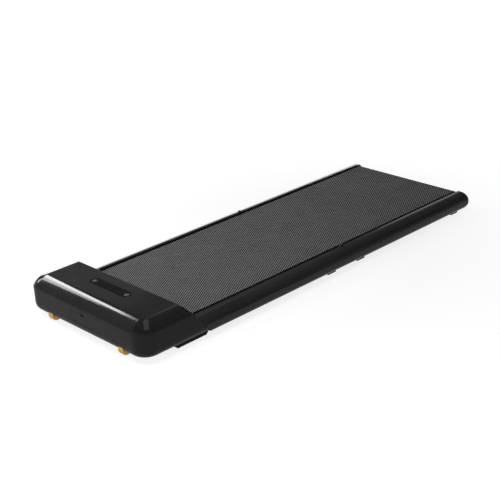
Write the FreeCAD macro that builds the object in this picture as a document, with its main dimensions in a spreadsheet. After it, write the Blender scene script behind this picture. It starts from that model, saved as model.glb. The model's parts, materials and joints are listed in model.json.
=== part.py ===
import FreeCAD, Part
import math
import os
import re
import Sketcher

Vector = FreeCAD.Vector

# Folding walking pad. +Y runs from the motor head to the rear roller, +X is the
# right side seen from the rear, and the feet stand on z = 0.

# Driving sizes in millimetres, one cell of the sheet each.
sizes = {
    # Whole pad
    "overall_length": 1420,
    "overall_height": 117,
    "foot_height": 13.5,
    "rear_half_length": 605,
    "fold_gap": 1,
    "shell_wall": 3,
    "fit_gap": 0.3,
    "run_gap": 0.05,
    "overrun": 5,
    # Head casing
    "head_inset": 1,
    "head_corner": 50,
    "shoulder_height": 86.5,
    "shoulder_run": 49,
    "pan_round": 24,
    "hood_length": 157,
    "skirt_run": 81,
    "end_wall": 4,
    "rail_seam": 0.8,
    "pan_rise": 10.5,
    "belt_mouth": 3.5,
    "frame_way_gap": 1,
    "boss_radius": 5,
    "boss_clearance": 1.5,
    "front_boss_reach": 7,
    "rear_boss_side": 28.5,
    "rear_boss_gap": 7,
    "casing_screw_radius": 2,
    "casing_screw_head": 4,
    "casing_screw_depth": 22,
    "casing_head_height": 2,
    # Display
    "display_length": 168,
    "display_width": 33,
    "display_rear_gap": 52,
    "window_thickness": 2,
    "window_ledge": 3,
    "lamp_end_gap": 13.5,
    "lamp_dot": 3,
    "lamp_ring_inner": 5.4,
    "lamp_ring_outer": 7,
    "lamp_depth": 0.6,
    "display_board_margin": 8,
    "display_board_thickness": 1.6,
    # Power bay
    "flap_width": 100,
    "flap_low": 43,
    "flap_margin": 2,
    "flap_gap": 0.4,
    "flap_pin": 0.9,
    "flap_pin_length": 2.4,
    "notch_radius": 9,
    "notch_depth": 5,
    "bay_depth": 25,
    "bay_wall": 3,
    "bay_margin": 1,
    "bay_back": 2,
    "fitting_spacing": 48,
    "inlet_width": 28,
    "inlet_height": 20,
    "inlet_flange": 3,
    "inlet_flange_thickness": 2,
    "socket_wall": 2,
    "socket_depth": 16,
    "socket_pin_length": 10,
    "socket_pin_width": 2,
    "socket_pin_height": 4,
    "socket_pin_pitch": 7,
    "switch_width": 18,
    "switch_step": 2.5,
    "switch_wall": 2.5,
    "rocker_depth": 10,
    "rocker_axis_depth": 3,
    "rocker_gap": 1,
    "rocker_back": 2.5,
    "rocker_front": 2.8,
    "rocker_dip": 1.2,
    "rocker_pin": 1,
    # Side rails and frames
    "rail_width": 47,
    "rail_low_round": 18,
    "rail_flat": 4,
    "rear_cap_length": 26,
    "rear_cap_round": 24,
    "rear_cap_wall": 4,
    "fold_cap_length": 6,
    "beam_width": 22,
    "beam_wall": 2,
    "beam_top_gap": 2,
    "beam_setback": 55,
    "plate_thickness": 4,
    "plate_drop": 4,
    "plate_front": 40,
    "plate_lap": 65,
    "chassis_lift": 3,
    "chassis_thickness": 2.5,
    "chassis_setback": 48,
    "chassis_step": 24,
    "chassis_roller_gap": 26,
    "member_width": 40,
    "member_gap": 3.3,
    "member_wall": 2,
    "member_end": 35,
    # Fold hinge
    "hinge_rise": 0.8,
    "knuckle_radius": 3.2,
    "knuckle_width": 6.8,
    "knuckle_relief": 0.7,
    "neck_depth": 10,
    "neck_root": 6,
    "hinge_pin_radius": 1.8,
    "hinge_block_length": 28,
    # Walking belt, rollers and deck
    "belt_width": 414,
    "belt_gap": 6,
    "belt_thickness": 1.6,
    "belt_drop": 1.5,
    "belt_floor_gap": 6.7,
    "belt_split": 0.6,
    "roller_radius": 19,
    "roller_wall": 2.5,
    "roller_gap": 0.3,
    "roller_overhang": 1,
    "plug_length": 10,
    "plug_lip": 2,
    "plug_bore": 8,
    "bearing_radius": 11,
    "axle_radius": 6,
    "axle_nut_radius": 9,
    "axle_nut_width": 6,
    "rear_belt_gap": 2.6,
    "axle_end_gap": 2,
    "take_up_half": 12,
    "take_up_travel": 12,
    "tension_bolt": 3,
    "tension_head": 5,
    "tension_head_length": 3.5,
    "tension_play": 0.6,
    "deck_side_gap": 3,
    "deck_thickness": 12,
    "deck_roller_gap": 25,
    "deck_fold_gap": 3,
    "cushion_thickness": 3,
    "cushion_width": 30,
    "cushion_end_gap": 23,
    "deck_screw_inset": 43,
    "deck_screw": 2.5,
    "deck_screw_head": 5,
    "deck_screw_head_height": 3,
    "deck_screw_sink": 0.4,
    "deck_screw_reach": 7,
    # Underside pans and feet
    "pan_thickness": 1.5,
    "pan_flange_gap": 1.1,
    "pan_lift": 0.5,
    "pan_head_gap": 4,
    "pan_fold_gap": 2.5,
    "pan_rear_gap": 20,
    "foot_width": 26,
    "foot_slope": 3,
    "foot_length": 40,
    "head_foot_lap": 11,
    "head_foot_slope": 14,
    "head_foot_gap": 19,
    "fold_foot_offset": 67,
    "rear_foot_setback": 58.5,
    # Transport wheels
    "wheel_radius": 18.5,
    "wheel_width": 19,
    "wheel_inset": 103,
    "wheel_front_gap": 1,
    "wheel_lift": 2,
    "wheel_play": 1.5,
    "wheel_hub": 7,
    "wheel_rim": 13,
    "wheel_recess": 4,
    "wheel_axle": 2.5,
    "wheel_side_gap": 2,
    "cheek_thickness": 4,
    "cheek_length": 20,
    "bracket_top": 2.5,
    # Motor and drive
    "motor_radius": 30,
    "motor_length": 140,
    "motor_setback": 88,
    "motor_gap": 5,
    "motor_side_gap": 28,
    "motor_roller_gap": 62,
    "motor_round": 4,
    "motor_shaft": 5,
    "motor_shaft_start": 15,
    "shaft_stub": 1,
    "fan_gap": 3,
    "fan_width": 10,
    "fan_radius": 24,
    "cradle_inset": 15,
    "cradle_margin": 6,
    "cradle_drop": 12,
    "strap_width": 20,
    "strap_thickness": 2,
    "lug_thickness": 3,
    "motor_pulley_radius": 10,
    "driven_pulley_radius": 17,
    "pulley_flange": 1.5,
    "pulley_flange_rise": 2,
    "pulley_width": 16,
    "pulley_gap": 2,
    "pulley_hub": 10,
    "pulley_bore_gap": 1,
    "drive_belt_thickness": 1.6,
    "drive_belt_gap": 0.5,
    # Motor controller
    "board_side_gap": 25,
    "board_width": 135,
    "board_depth": 56,
    "board_setback": 58,
    "board_thickness": 1.6,
    "standoff_height": 9,
    "standoff_radius": 3,
    "standoff_inset": 6,
    "sink_inset": 10,
    "sink_width": 82,
    "sink_base": 4.5,
    "sink_height": 30,
    "fin_thickness": 2.5,
}

# Counts
member_count = 4
fin_count = 7

# Tilt of the rocker at rest, in degrees, and the tolerance of an edge search
rocker_tilt = -8
search_tolerance = sizes["run_gap"]

doc = FreeCAD.newDocument("WalkingPad")
sheet = doc.addObject("Spreadsheet::Sheet", "Sizes")
for row, (alias, size) in enumerate(sizes.items(), start=1):
    sheet.set(f"A{row}", alias)
    sheet.set(f"B{row}", str(size))
    sheet.setAlias(f"B{row}", alias)
doc.recompute()

nodes = []

# Places worked out from the sizes. Each is text that the document works out.
side = "(belt_width / 2 + belt_gap + rail_width)"
front = "(-overall_length / 2)"
rear = "(overall_length / 2)"
fold = "(overall_length / 2 - rear_half_length)"
fold_front = f"({fold} - fold_gap / 2)"
fold_rear = f"({fold} + fold_gap / 2)"
shoulder_drop = "(overall_height - shoulder_height)"
hood_round = f"((shoulder_run * shoulder_run / {shoulder_drop} + {shoulder_drop}) / 2)"
cap_outset = f"({hood_round} - shoulder_run)"
hood_low = "(foot_height + pan_rise)"
belt_inner = "(roller_radius + roller_gap)"
belt_outer = f"({belt_inner} + belt_thickness)"
rail_height = f"(belt_drop + 2 * {belt_outer} + belt_floor_gap)"
rail_top_round = f"({rail_height} - rail_low_round - rail_flat)"
rail_in = "(belt_width / 2 + belt_gap)"
rail_high = f"(foot_height + {rail_height})"
beam_out = f"({rail_in} + beam_width)"
beam_low = "(foot_height + shell_wall)"
beam_high = f"({rail_high} - shell_wall - beam_top_gap)"
plate_out = f"({beam_out} + plate_thickness)"
chassis_low = f"({beam_low} + chassis_lift)"
chassis_high = f"({chassis_low} + chassis_thickness)"
hinge_z = f"({rail_high} + hinge_rise)"
belt_high = f"({rail_high} - belt_drop)"
roller_z = f"({belt_high} - {belt_outer})"
motor_y = f"({front} + motor_setback)"
motor_z = f"({chassis_high} + motor_gap + motor_radius)"
motor_right = f"({rail_in} - motor_side_gap)"
motor_left = f"({motor_right} - motor_length)"
front_roller_y = f"({motor_y} + motor_roller_gap)"
rear_roller_y = f"({rear} - {belt_outer} - rear_belt_gap)"
drum_end = "(belt_width / 2 + roller_overhang)"
pulley_left = f"({drum_end} + pulley_gap)"
pulley_right = f"({pulley_left} + pulley_width)"
deck_high = f"({belt_high} - belt_thickness - roller_gap)"
deck_low = f"({deck_high} - deck_thickness)"
member_high = f"({deck_low} - cushion_thickness)"
member_low = f"({roller_z} - {belt_inner} + member_gap)"
beam_front = f"({front_roller_y} + beam_setback)"
cap_start = f"({rear} - rear_cap_length)"
beam_rear = f"({rear} - rear_cap_wall - fit_gap)"
bolt_x = f"({rail_in} + beam_width / 2)"
display_y = f"({front} + hood_length - display_rear_gap)"
lamp_x = "(display_length / 2 - lamp_end_gap)"
wheel_x = f"({side} - wheel_inset)"
wheel_y = f"({front} + wheel_radius + wheel_front_gap)"
wheel_z = "(wheel_lift + wheel_radius)"
flap_high = "(flap_low + inlet_height + 2 * inlet_flange + 2 * flap_margin)"
flap_y = f"({front} + shell_wall / 2)"
bay_front = f"({front} + shell_wall)"
bay_rear = f"({bay_front} + bay_depth)"
bay_panel = f"({bay_rear} - bay_back)"
fitting_z = f"((flap_low + {flap_high}) / 2)"
fitting_face = f"({bay_panel} - inlet_flange_thickness)"
inlet_depth = "(socket_depth + socket_wall)"
switch_height = "(inlet_height + 2 * switch_step)"
rocker_half_height = f"({switch_height} / 2 - switch_wall - rocker_gap)"
ear_front = f"({rail_in} + beam_wall + fit_gap)"
ear_rear = f"({ear_front} + knuckle_width + fit_gap)"
ear_end = f"({ear_rear} + knuckle_width)"
front_boss_x = f"({side} - head_inset - head_corner + front_boss_reach)"
front_boss_y = f"({front} + head_corner - front_boss_reach)"
rear_boss_x = f"({side} - rear_boss_side)"
rear_boss_y = f"({front_roller_y} - plate_front - boss_radius - rear_boss_gap)"


def bound(text):
    return re.sub("[a-z_]+", r"Sizes.\g<0>", text)


def length(text):
    return float(sheet.evalExpression(bound(text)))


# Plain solids. A span is a pair of texts, where it starts and where it ends.
def block(name, x, y, z):
    item = doc.addObject("Part::Box", name)
    for edge, axis, (low, high) in zip(("Length", "Width", "Height"), "xyz", (x, y, z)):
        item.setExpression(edge, bound(f"({high}) - ({low})"))
        item.setExpression(f"Placement.Base.{axis}", bound(low))
    return item


turns = {
    "x": FreeCAD.Rotation(Vector(0, 1, 0), 90),
    "y": FreeCAD.Rotation(Vector(1, 0, 0), -90),
    "z": FreeCAD.Rotation(),
}


def rod(name, axis, radius, span, centre):
    item = doc.addObject("Part::Cylinder", name)
    item.Placement = FreeCAD.Placement(Vector(), turns[axis])
    item.setExpression("Radius", bound(radius))
    item.setExpression("Height", bound(f"({span[1]}) - ({span[0]})"))
    item.setExpression(f"Placement.Base.{axis}", bound(span[0]))
    for other, place in zip("xyz".replace(axis, ""), centre):
        item.setExpression(f"Placement.Base.{other}", bound(place))
    return item


def cut(base, *tools):
    for tool in tools:
        step = doc.addObject("Part::Cut", base.Name + "_cut")
        step.Base = base
        step.Tool = tool
        base = step
    return base


def tube(name, axis, outer, inner, span, centre):
    bore = rod(name + "_bore", axis, inner, past(span), centre)
    return cut(rod(name, axis, outer, span, centre), bore)


def common(first, second):
    item = doc.addObject("Part::Common", first.Name + "_common")
    item.Base = first
    item.Tool = second
    return item


def joined(name, *pieces):
    item = doc.addObject("Part::MultiFuse", name)
    item.Shapes = list(pieces)
    item.Refine = True
    return item


def group(name, *pieces):
    item = doc.addObject("Part::Compound", name)
    item.Links = list(pieces)
    return item


def mirrored(piece):
    item = doc.addObject("Part::Mirroring", piece.Name + "_left")
    item.Source = piece
    item.Normal = Vector(1, 0, 0)
    return item


def pair(name, piece):
    return group(name, piece, mirrored(piece))


def node(name, piece):
    piece.Label = name
    nodes.append(piece)


# Sketched solids. A corner is two texts, and a third where the corner is rounded.
def pin(outline, geometry, end, corner):
    for kind, text in zip(("DistanceX", "DistanceY"), corner):
        place = Sketcher.Constraint(kind, -1, 1, geometry, end, length(text))
        outline.setExpression(f"Constraints[{outline.addConstraint(place)}]", bound(text))


def hold_radius(outline, geometry, text):
    place = Sketcher.Constraint("Radius", geometry, length(text))
    outline.setExpression(f"Constraints[{outline.addConstraint(place)}]", bound(text))


def arc(centre, radius, first, last):
    angles = [math.atan2(spot.y - centre.y, spot.x - centre.x) for spot in (first, last)]
    if angles[1] < angles[0]:
        angles[1] += 2 * math.pi
    return Part.ArcOfCircle(Part.Circle(centre, Vector(0, 0, 1), radius), *angles)


def draw(outline, corners):
    spots = [Vector(length(corner[0]), length(corner[1]), 0) for corner in corners]
    starts = list(spots)
    ends = list(spots)
    rounds = {}
    for here, corner in enumerate(corners):
        if len(corner) < 3:
            continue
        radius = length(corner[2])
        back = (spots[here - 1] - spots[here]).normalize()
        ahead = (spots[(here + 1) % len(spots)] - spots[here]).normalize()
        half = back.getAngle(ahead) / 2
        ends[here] = spots[here] + back * (radius / math.tan(half))
        starts[here] = spots[here] + ahead * (radius / math.tan(half))
        centre = spots[here] + (back + ahead).normalize() * (radius / math.sin(half))
        leftward = back.cross(ahead).z < 0
        limits = (ends[here], starts[here]) if leftward else (starts[here], ends[here])
        rounds[here] = (arc(centre, radius, *limits), leftward)
    for here in range(len(spots)):
        outline.addGeometry(Part.LineSegment(starts[here], ends[(here + 1) % len(spots)]), False)
    for here, corner in enumerate(corners):
        before = (here - 1) % len(spots)
        if here not in rounds:
            outline.addConstraint(Sketcher.Constraint("Coincident", before, 2, here, 1))
            pin(outline, here, 1, corner)
            continue
        bend, leftward = rounds[here]
        curve = outline.addGeometry(bend, False)
        mark = outline.addGeometry(Part.Point(spots[here]), True)
        pin(outline, mark, 1, corner)
        outline.addConstraint(Sketcher.Constraint("PointOnObject", mark, 1, before))
        outline.addConstraint(Sketcher.Constraint("PointOnObject", mark, 1, here))
        inner, outer = (1, 2) if leftward else (2, 1)
        outline.addConstraint(Sketcher.Constraint("Tangent", before, 2, curve, inner))
        outline.addConstraint(Sketcher.Constraint("Tangent", curve, outer, here, 1))
        hold_radius(outline, curve, corner[2])


def draw_loop(outline, first, first_radius, second, second_radius):
    # An open belt round two circles: two arcs and their outer tangents
    centres = [Vector(length(spot[0]), length(spot[1]), 0) for spot in (first, second)]
    radii = [length(first_radius), length(second_radius)]
    line = centres[1] - centres[0]
    heading = math.atan2(line.y, line.x)
    spread = math.acos((radii[0] - radii[1]) / line.Length)
    aims = [Vector(math.cos(turn), math.sin(turn), 0) for turn in (heading + spread, heading - spread)]
    upper, lower = [[centre + aim * reach for centre, reach in zip(centres, radii)] for aim in aims]
    arcs = [arc(centres[0], radii[0], upper[0], lower[0]), arc(centres[1], radii[1], lower[1], upper[1])]
    near, far = [outline.addGeometry(bend, False) for bend in arcs]
    top, bottom = [outline.addGeometry(Part.LineSegment(*run), False) for run in (upper, lower)]
    for meeting in ((near, 1, top, 1), (near, 2, bottom, 1), (far, 1, bottom, 2), (far, 2, top, 2)):
        outline.addConstraint(Sketcher.Constraint("Tangent", *meeting))
    for curve, centre, radius in ((near, first, first_radius), (far, second, second_radius)):
        pin(outline, curve, 3, centre)
        hold_radius(outline, curve, radius)


planes = {"front": "XZ_Plane", "side": "YZ_Plane", "top": "XY_Plane"}


def sketched(name, plane, start):
    body = doc.addObject("PartDesign::Body", name)
    outline = body.newObject("Sketcher::SketchObject", name + "_outline")
    support = next(feature for feature in body.Origin.OriginFeatures if feature.Role == planes[plane])
    outline.AttachmentSupport = (support, [""])
    outline.MapMode = "FlatFace"
    place = f"-({start})" if plane == "front" else start
    outline.setExpression("AttachmentOffset.Base.z", bound(place))
    return body, outline


def pad(body, outline, plane, start, end):
    feature = body.newObject("PartDesign::Pad", body.Name + "_pad")
    feature.Profile = outline
    feature.Reversed = plane == "front"
    feature.setExpression("Length", bound(f"({end}) - ({start})"))
    return body


def padded(name, plane, corners, start, end):
    body, outline = sketched(name, plane, start)
    draw(outline, corners)
    return pad(body, outline, plane, start, end)


def round_level(body, level, rear_limit, radius):
    # Rounds the edges of one level face, but not the edge at its rear limit
    doc.recompute()
    stock = body.Tip
    picked = []
    for number, edge in enumerate(stock.Shape.Edges, start=1):
        flat = all(abs(spot.Z - length(level)) < search_tolerance for spot in edge.Vertexes)
        ahead = min(spot.Y for spot in edge.Vertexes) < length(rear_limit) - search_tolerance
        if flat and ahead:
            picked.append(f"Edge{number}")
    feature = body.newObject("PartDesign::Fillet", body.Name + "_round")
    feature.Base = (stock, picked)
    feature.setExpression("Radius", bound(radius))
    doc.recompute()


def round_ends(name, piece, radius):
    # Rounds the circles at both ends of a rod
    doc.recompute()
    item = doc.addObject("Part::Fillet", name)
    item.Base = piece
    size = length(radius)
    item.Edges = [(number, size, size) for number, edge in enumerate(piece.Shape.Edges, start=1)
                  if isinstance(edge.Curve, Part.Circle)]
    return item


def across(half):
    return (f"-({half})", half)


def about(centre, half):
    return (f"({centre}) - ({half})", f"({centre}) + ({half})")


def past(span):
    return (f"({span[0]}) - overrun", f"({span[1]}) + overrun")


# The head's whole block, drawn in by an inset for the hollow inside it. Its cap is the rounded
# top of a larger block, so that the shoulder meets the upright skirt at a crease.
head_far = f"({front} + hood_length + skirt_run + overrun)"


def head_prism(name, inset, outset, low, high):
    half = f"({side} - head_inset - {inset} + {outset})"
    near = f"({front} + {inset} - {outset})"
    corner = f"(head_corner - {inset} + {outset})"
    corners = [(f"-{half}", head_far), (f"-{half}", near, corner), (half, near, corner), (half, head_far)]
    return padded(name, "top", corners, low, high)


def head_block(name, inset):
    low = f"(foot_height + {inset})"
    high = f"(overall_height - {inset})"
    walls = head_prism(name + "_walls", inset, "0", low, high)
    round_level(walls, low, head_far, f"pan_round - {inset}")
    cap = head_prism(name + "_cap", inset, cap_outset, f"{low} - overrun", high)
    round_level(cap, high, head_far, f"{hood_round} - {inset}")
    return common(walls, cap)


# The slanted rear end of the head, as the space behind it or in front of it
lean_share = "(skirt_run / (overall_height - foot_height))"
slant_top = f"({front} + hood_length - overrun * {lean_share})"
slant_low = f"({front} + hood_length + skirt_run + overrun * {lean_share})"
above_head = "(overall_height + overrun)"
below_head = "(foot_height - overrun)"
behind_head = f"({head_far} + overrun * 2)"
before_head = f"({front} - overrun)"
slab = across(f"{side} + overrun")


def behind_slant(name, shift):
    top = f"({slant_top} + {shift})"
    low = f"({slant_low} + {shift})"
    corners = [(top, above_head), (low, below_head), (behind_head, below_head), (behind_head, above_head)]
    return padded(name, "side", corners, *slab)


def before_slant(name, shift):
    top = f"({slant_top} + {shift})"
    low = f"({slant_low} + {shift})"
    corners = [(before_head, below_head), (low, below_head), (top, above_head), (before_head, above_head)]
    return padded(name, "side", corners, *slab)


# Head casing: one outer skin, parted into the hood and the base pan
def head_skin(name):
    outer = cut(head_block(name + "_outer", "0"), behind_slant(name + "_end", "0"))
    inner_end = behind_slant(name + "_inner_end", "-end_wall")
    inner = cut(head_block(name + "_inner", "shell_wall"), inner_end)
    return cut(outer, inner)


head_outer = head_block("head_outline", "0")
head_inside = head_block("head_inside", "(shell_wall + fit_gap)")
skin = head_skin("head_skin")
tail = (front_roller_y, behind_head)
frame_way = block("frame_way", across(f"{plate_out} + frame_way_gap"), tail,
                  (beam_low, f"{rail_high} - shell_wall / 2"))
belt_way = block("belt_way", across(rail_in), tail, (beam_low, f"{belt_high} + belt_mouth"))
wheel_ways = pair("wheel_ways", rod("wheel_way", "x", "wheel_radius + wheel_play",
                                    about(wheel_x, "wheel_width / 2 + wheel_side_gap"),
                                    (wheel_y, wheel_z)))


boss_spots = [(front_boss_x, front_boss_y), (rear_boss_x, rear_boss_y)]


def boss_rods(name, radius, span):
    right = [rod(name, "z", radius, span, spot) for spot in boss_spots]
    return right + [mirrored(item) for item in right]


def stadium(name, grow, span):
    half = f"(display_width / 2 + {grow})"
    straight = "(display_length - display_width) / 2"
    ends = [rod(name + "_end", "z", half, span, (place, display_y)) for place in across(straight)]
    return joined(name, block(name + "_bar", across(straight), about(display_y, half), span), *ends)


def lamp_solids(name, grow, low, high):
    centre = (lamp_x, display_y)
    dot = rod(name + "_dot", "z", f"lamp_dot + {grow}", (low, high), centre)
    ring = tube(name + "_ring", "z", f"lamp_ring_outer + {grow}", f"lamp_ring_inner - {grow}",
                (low, high), centre)
    return [dot, ring, mirrored(dot), mirrored(ring)]


def build_casing():
    upper = block("above_parting", slab, (before_head, behind_head), (f"{hood_low} + fit_gap", above_head))
    lower = block("below_parting", slab, (before_head, behind_head), (below_head, hood_low))
    bosses = [common(item, head_outer) for item in
              boss_rods("boss", "boss_radius", (f"{beam_low} + fit_gap", above_head))]
    pilots = boss_rods("pilot", "casing_screw_radius + run_gap",
                       (below_head, "foot_height + casing_screw_depth"))
    opening = block("flap_opening", across("flap_width / 2"), past((front, bay_front)),
                    ("flap_low - shell_wall / 2 - flap_gap", flap_high))
    pin_span = ("flap_width / 2 - flap_gap", "flap_width / 2 + flap_pin_length")
    pin_hole = rod("flap_pin_hole", "x", "flap_pin + run_gap", pin_span, (flap_y, "flap_low"))
    pin_holes = pair("flap_pin_holes", pin_hole)
    seat_low = "overall_height - window_thickness"
    seat = stadium("window_seat", "fit_gap", (seat_low, above_head))
    well = stadium("window_well", "-window_ledge", ("overall_height - shell_wall - overrun", above_head))
    hood = cut(common(skin, upper), frame_way, belt_way, wheel_ways)
    hood = cut(joined("hood_with_bosses", hood, *bosses), *pilots, opening, pin_holes, seat, well)
    node("motor_hood", hood)
    node("head_base", cut(common(skin, lower), frame_way, wheel_ways, *pilots))
    shank_span = ("foot_height", "foot_height + casing_screw_depth")
    head_span = ("foot_height - casing_head_height", "foot_height")
    shanks = boss_rods("screw_shank", "casing_screw_radius", shank_span)
    heads = boss_rods("screw_head", "casing_screw_head", head_span)
    screws = [joined("casing_screw", shank, head) for shank, head in zip(shanks, heads)]
    node("casing_screws", group("casing_screw_set", *screws))


def build_display():
    low = "overall_height - lamp_depth"
    window = stadium("window_blank", "0", ("overall_height - window_thickness", "overall_height"))
    pockets = lamp_solids("lamp_pocket", "run_gap", low, above_head)
    node("display_window", cut(window, *pockets))
    node("display_lamps", group("lamp_set", *lamp_solids("lamp", "0", low, "overall_height")))
    ceiling = "overall_height - shell_wall"
    board = block("display_board_blank", across("display_length / 2 + display_board_margin"),
                  about(display_y, "display_width / 2 + display_board_margin"),
                  (f"{ceiling} - display_board_thickness", ceiling))
    node("display_board", board)


def build_power_bay():
    flap_half = "flap_width / 2 - flap_gap"
    panel = common(head_skin("flap_skin"),
                   block("flap_area", across(flap_half), past((front, bay_front)),
                         ("flap_low", f"{flap_high} - flap_gap")))
    barrel = rod("flap_barrel", "x", "shell_wall / 2", across(flap_half), (flap_y, "flap_low"))
    flap_pins = rod("flap_pins", "x", "flap_pin", across("flap_width / 2 + flap_pin_length - fit_gap"),
                    (flap_y, "flap_low"))
    notch = rod("thumb_notch", "y", "notch_radius", past((front, bay_front)),
                ("0", f"{flap_high} + notch_radius - notch_depth"))
    node("power_flap", cut(joined("flap_leaf", panel, barrel, flap_pins), notch))
    bay_half = "flap_width / 2 + bay_margin"
    bay_low = "flap_low - shell_wall / 2 - bay_margin"
    bay_high = f"{flap_high} + bay_margin"
    stock = block("bay_stock", across(f"{bay_half} + bay_wall"), (before_head, bay_rear),
                  (f"{bay_low} - bay_wall", f"{bay_high} + bay_wall"))
    hollow = block("bay_hollow", across(bay_half), (before_head, bay_panel), (bay_low, bay_high))
    inlet_hole = block("inlet_hole", about("-fitting_spacing / 2", "inlet_width / 2 + fit_gap"),
                       past((bay_panel, bay_rear)), about(fitting_z, "inlet_height / 2 + fit_gap"))
    switch_hole = block("switch_hole", about("fitting_spacing / 2", "switch_width / 2 + fit_gap"),
                        past((bay_panel, bay_rear)), about(fitting_z, f"{switch_height} / 2 + fit_gap"))
    node("power_bay", cut(common(stock, head_inside), hollow, inlet_hole, switch_hole))
    build_inlet()
    build_switch()


def build_inlet():
    centre = "-fitting_spacing / 2"
    floor = f"{fitting_face} + socket_depth"
    flange = block("inlet_flange_plate", about(centre, "inlet_width / 2 + inlet_flange"),
                   (fitting_face, bay_panel), about(fitting_z, "inlet_height / 2 + inlet_flange"))
    barrel = block("inlet_barrel", about(centre, "inlet_width / 2"),
                   (fitting_face, f"{fitting_face} + {inlet_depth}"), about(fitting_z, "inlet_height / 2"))
    socket = block("inlet_socket", about(centre, "inlet_width / 2 - socket_wall"),
                   (f"{fitting_face} - overrun", floor), about(fitting_z, "inlet_height / 2 - socket_wall"))
    pins = [block("inlet_pin", about(f"{centre} + socket_pin_pitch * {step}", "socket_pin_width / 2"),
                  (f"{floor} - socket_pin_length", f"{fitting_face} + {inlet_depth}"),
                  about(fitting_z, "socket_pin_height / 2")) for step in (-1, 0, 1)]
    node("power_inlet", joined("inlet_whole", cut(joined("inlet_shell", flange, barrel), socket), *pins))


def build_switch():
    centre = "fitting_spacing / 2"
    axis_y = f"{fitting_face} + rocker_axis_depth"
    hole_half = "switch_width / 2 - switch_wall"
    rocker_half = f"{hole_half} - fit_gap"
    frame = block("switch_frame", about(centre, "switch_width / 2"),
                  (fitting_face, f"{fitting_face} + {inlet_depth}"),
                  about(fitting_z, f"{switch_height} / 2"))
    lip = block("switch_lip", about(centre, "switch_width / 2 + inlet_flange"),
                (fitting_face, bay_panel), about(fitting_z, f"{switch_height} / 2 + inlet_flange / 2"))
    hole = block("switch_well", about(centre, hole_half),
                 (f"{fitting_face} - overrun", f"{fitting_face} + rocker_depth"),
                 about(fitting_z, f"{switch_height} / 2 - switch_wall"))
    pivot_half = "switch_width / 2 - switch_wall / 2"
    pivot = rod("switch_pivot", "x", "rocker_pin + run_gap", about(centre, pivot_half), (axis_y, fitting_z))
    node("switch_body", cut(joined("switch_shell", frame, lip), hole, pivot))
    corners = [
        ("rocker_back", f"-{rocker_half_height}"),
        ("rocker_back", rocker_half_height),
        ("-rocker_front", rocker_half_height),
        ("-rocker_dip", "0"),
        ("-rocker_front", f"-{rocker_half_height}"),
    ]
    key = padded("rocker_key", "side", corners, *across(rocker_half))
    pivots = rod("rocker_pivots", "x", "rocker_pin", across(f"{pivot_half} - fit_gap"), ("0", "0"))
    rocker = joined("rocker_whole", key, pivots)
    rocker.Placement = FreeCAD.Placement(Vector(), FreeCAD.Rotation(Vector(1, 0, 0), rocker_tilt))
    for axis, place in zip("xyz", (centre, axis_y, fitting_z)):
        rocker.setExpression(f"Placement.Base.{axis}", bound(place))
    node("switch_rocker", rocker)


# Side rails: a D-shaped skin over a steel beam
def rail_outline(gap, inner=rail_in):
    out = f"({side} - {gap})"
    low = f"(foot_height + {gap})"
    high = f"({rail_high} - {gap})"
    rounds = (f"(rail_low_round - {gap})", f"({rail_top_round} - {gap})")
    return [(inner, low), (out, low, rounds[0]), (out, high, rounds[1]), (inner, high)]


def rail_skin(name, start, end):
    outer = rail_outline("0")
    inner = rail_outline("shell_wall")
    return padded(name, "front", outer + inner[::-1], start, end)


def hinge_relief(name):
    return pair(name, rod(name + "_right", "x", "knuckle_radius + knuckle_relief",
                          (f"{rail_in} - overrun", f"{ear_end} + fit_gap"), (fold, hinge_z)))


def neck_way(name, ear, toward):
    near = f"{fold} + ({toward}) * (neck_depth + fit_gap)"
    span = (near, fold) if toward == "-1" else (fold, near)
    return pair(name, block(name + "_right", (f"{ear} - fit_gap", f"{ear} + knuckle_width + fit_gap"), span,
                            (f"{beam_high} - beam_wall - fit_gap", f"{rail_high} + overrun")))


def fold_cap(name, start, end):
    plug = padded(name, "front", rail_outline("(shell_wall + fit_gap)"), start, end)
    beam = block(name + "_beam_way", (f"{rail_in} - overrun", f"{beam_out} + fit_gap"),
                 past((start, end)), (below_head, above_head))
    return cut(plug, beam)


def build_rails():
    relief = hinge_relief("knuckle_relief")
    head_side = before_slant("head_side", "rail_seam")
    front_skin = rail_skin("front_skin", f"{front} + hood_length", fold_front)
    front_skin = cut(front_skin, head_side, neck_way("front_neck_way", ear_front, "-1"), relief)
    rear_skin = rail_skin("rear_skin", fold_rear, f"{cap_start} - fit_gap")
    rear_skin = cut(rear_skin, neck_way("rear_neck_way", ear_rear, "1"), relief)
    for name, right in (("front_rail", front_skin), ("rear_rail", rear_skin)):
        node(name + "_right", right)
        node(name + "_left", mirrored(right))
    front_cap = fold_cap("front_fold_plug", f"{fold_front} - fold_cap_length", fold_front)
    rear_cap = fold_cap("rear_fold_plug", fold_rear, f"{fold_rear} + fold_cap_length")
    node("front_fold_caps", pair("front_fold_plugs", front_cap))
    node("rear_fold_caps", pair("rear_fold_plugs", rear_cap))
    rear_end = build_rear_cap()
    node("rear_cap_right", rear_end)
    node("rear_cap_left", mirrored(rear_end))


def cap_plan(name, gap, end, inner, start):
    out = f"({side} - {gap})"
    corners = [(inner, start), (out, start), (out, end, f"rear_cap_round - {gap}"), (inner, end)]
    return padded(name, "top", corners, below_head, above_head)


def build_rear_cap():
    outer = common(padded("cap_stock", "front", rail_outline("0"), cap_start, rear),
                   cap_plan("cap_plan", "0", rear, rail_in, cap_start))
    before = f"{cap_start} - overrun"
    open_side = f"({rail_in} - overrun)"
    inner = common(padded("cap_hollow", "front", rail_outline("shell_wall", open_side), before, rear),
                   cap_plan("cap_hollow_plan", "shell_wall", f"{rear} - rear_cap_wall", open_side, before))
    hole = rod("bolt_way", "y", "tension_head + tension_play", past((cap_start, rear)),
               (bolt_x, roller_z))
    return cut(outer, inner, hole)


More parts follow.
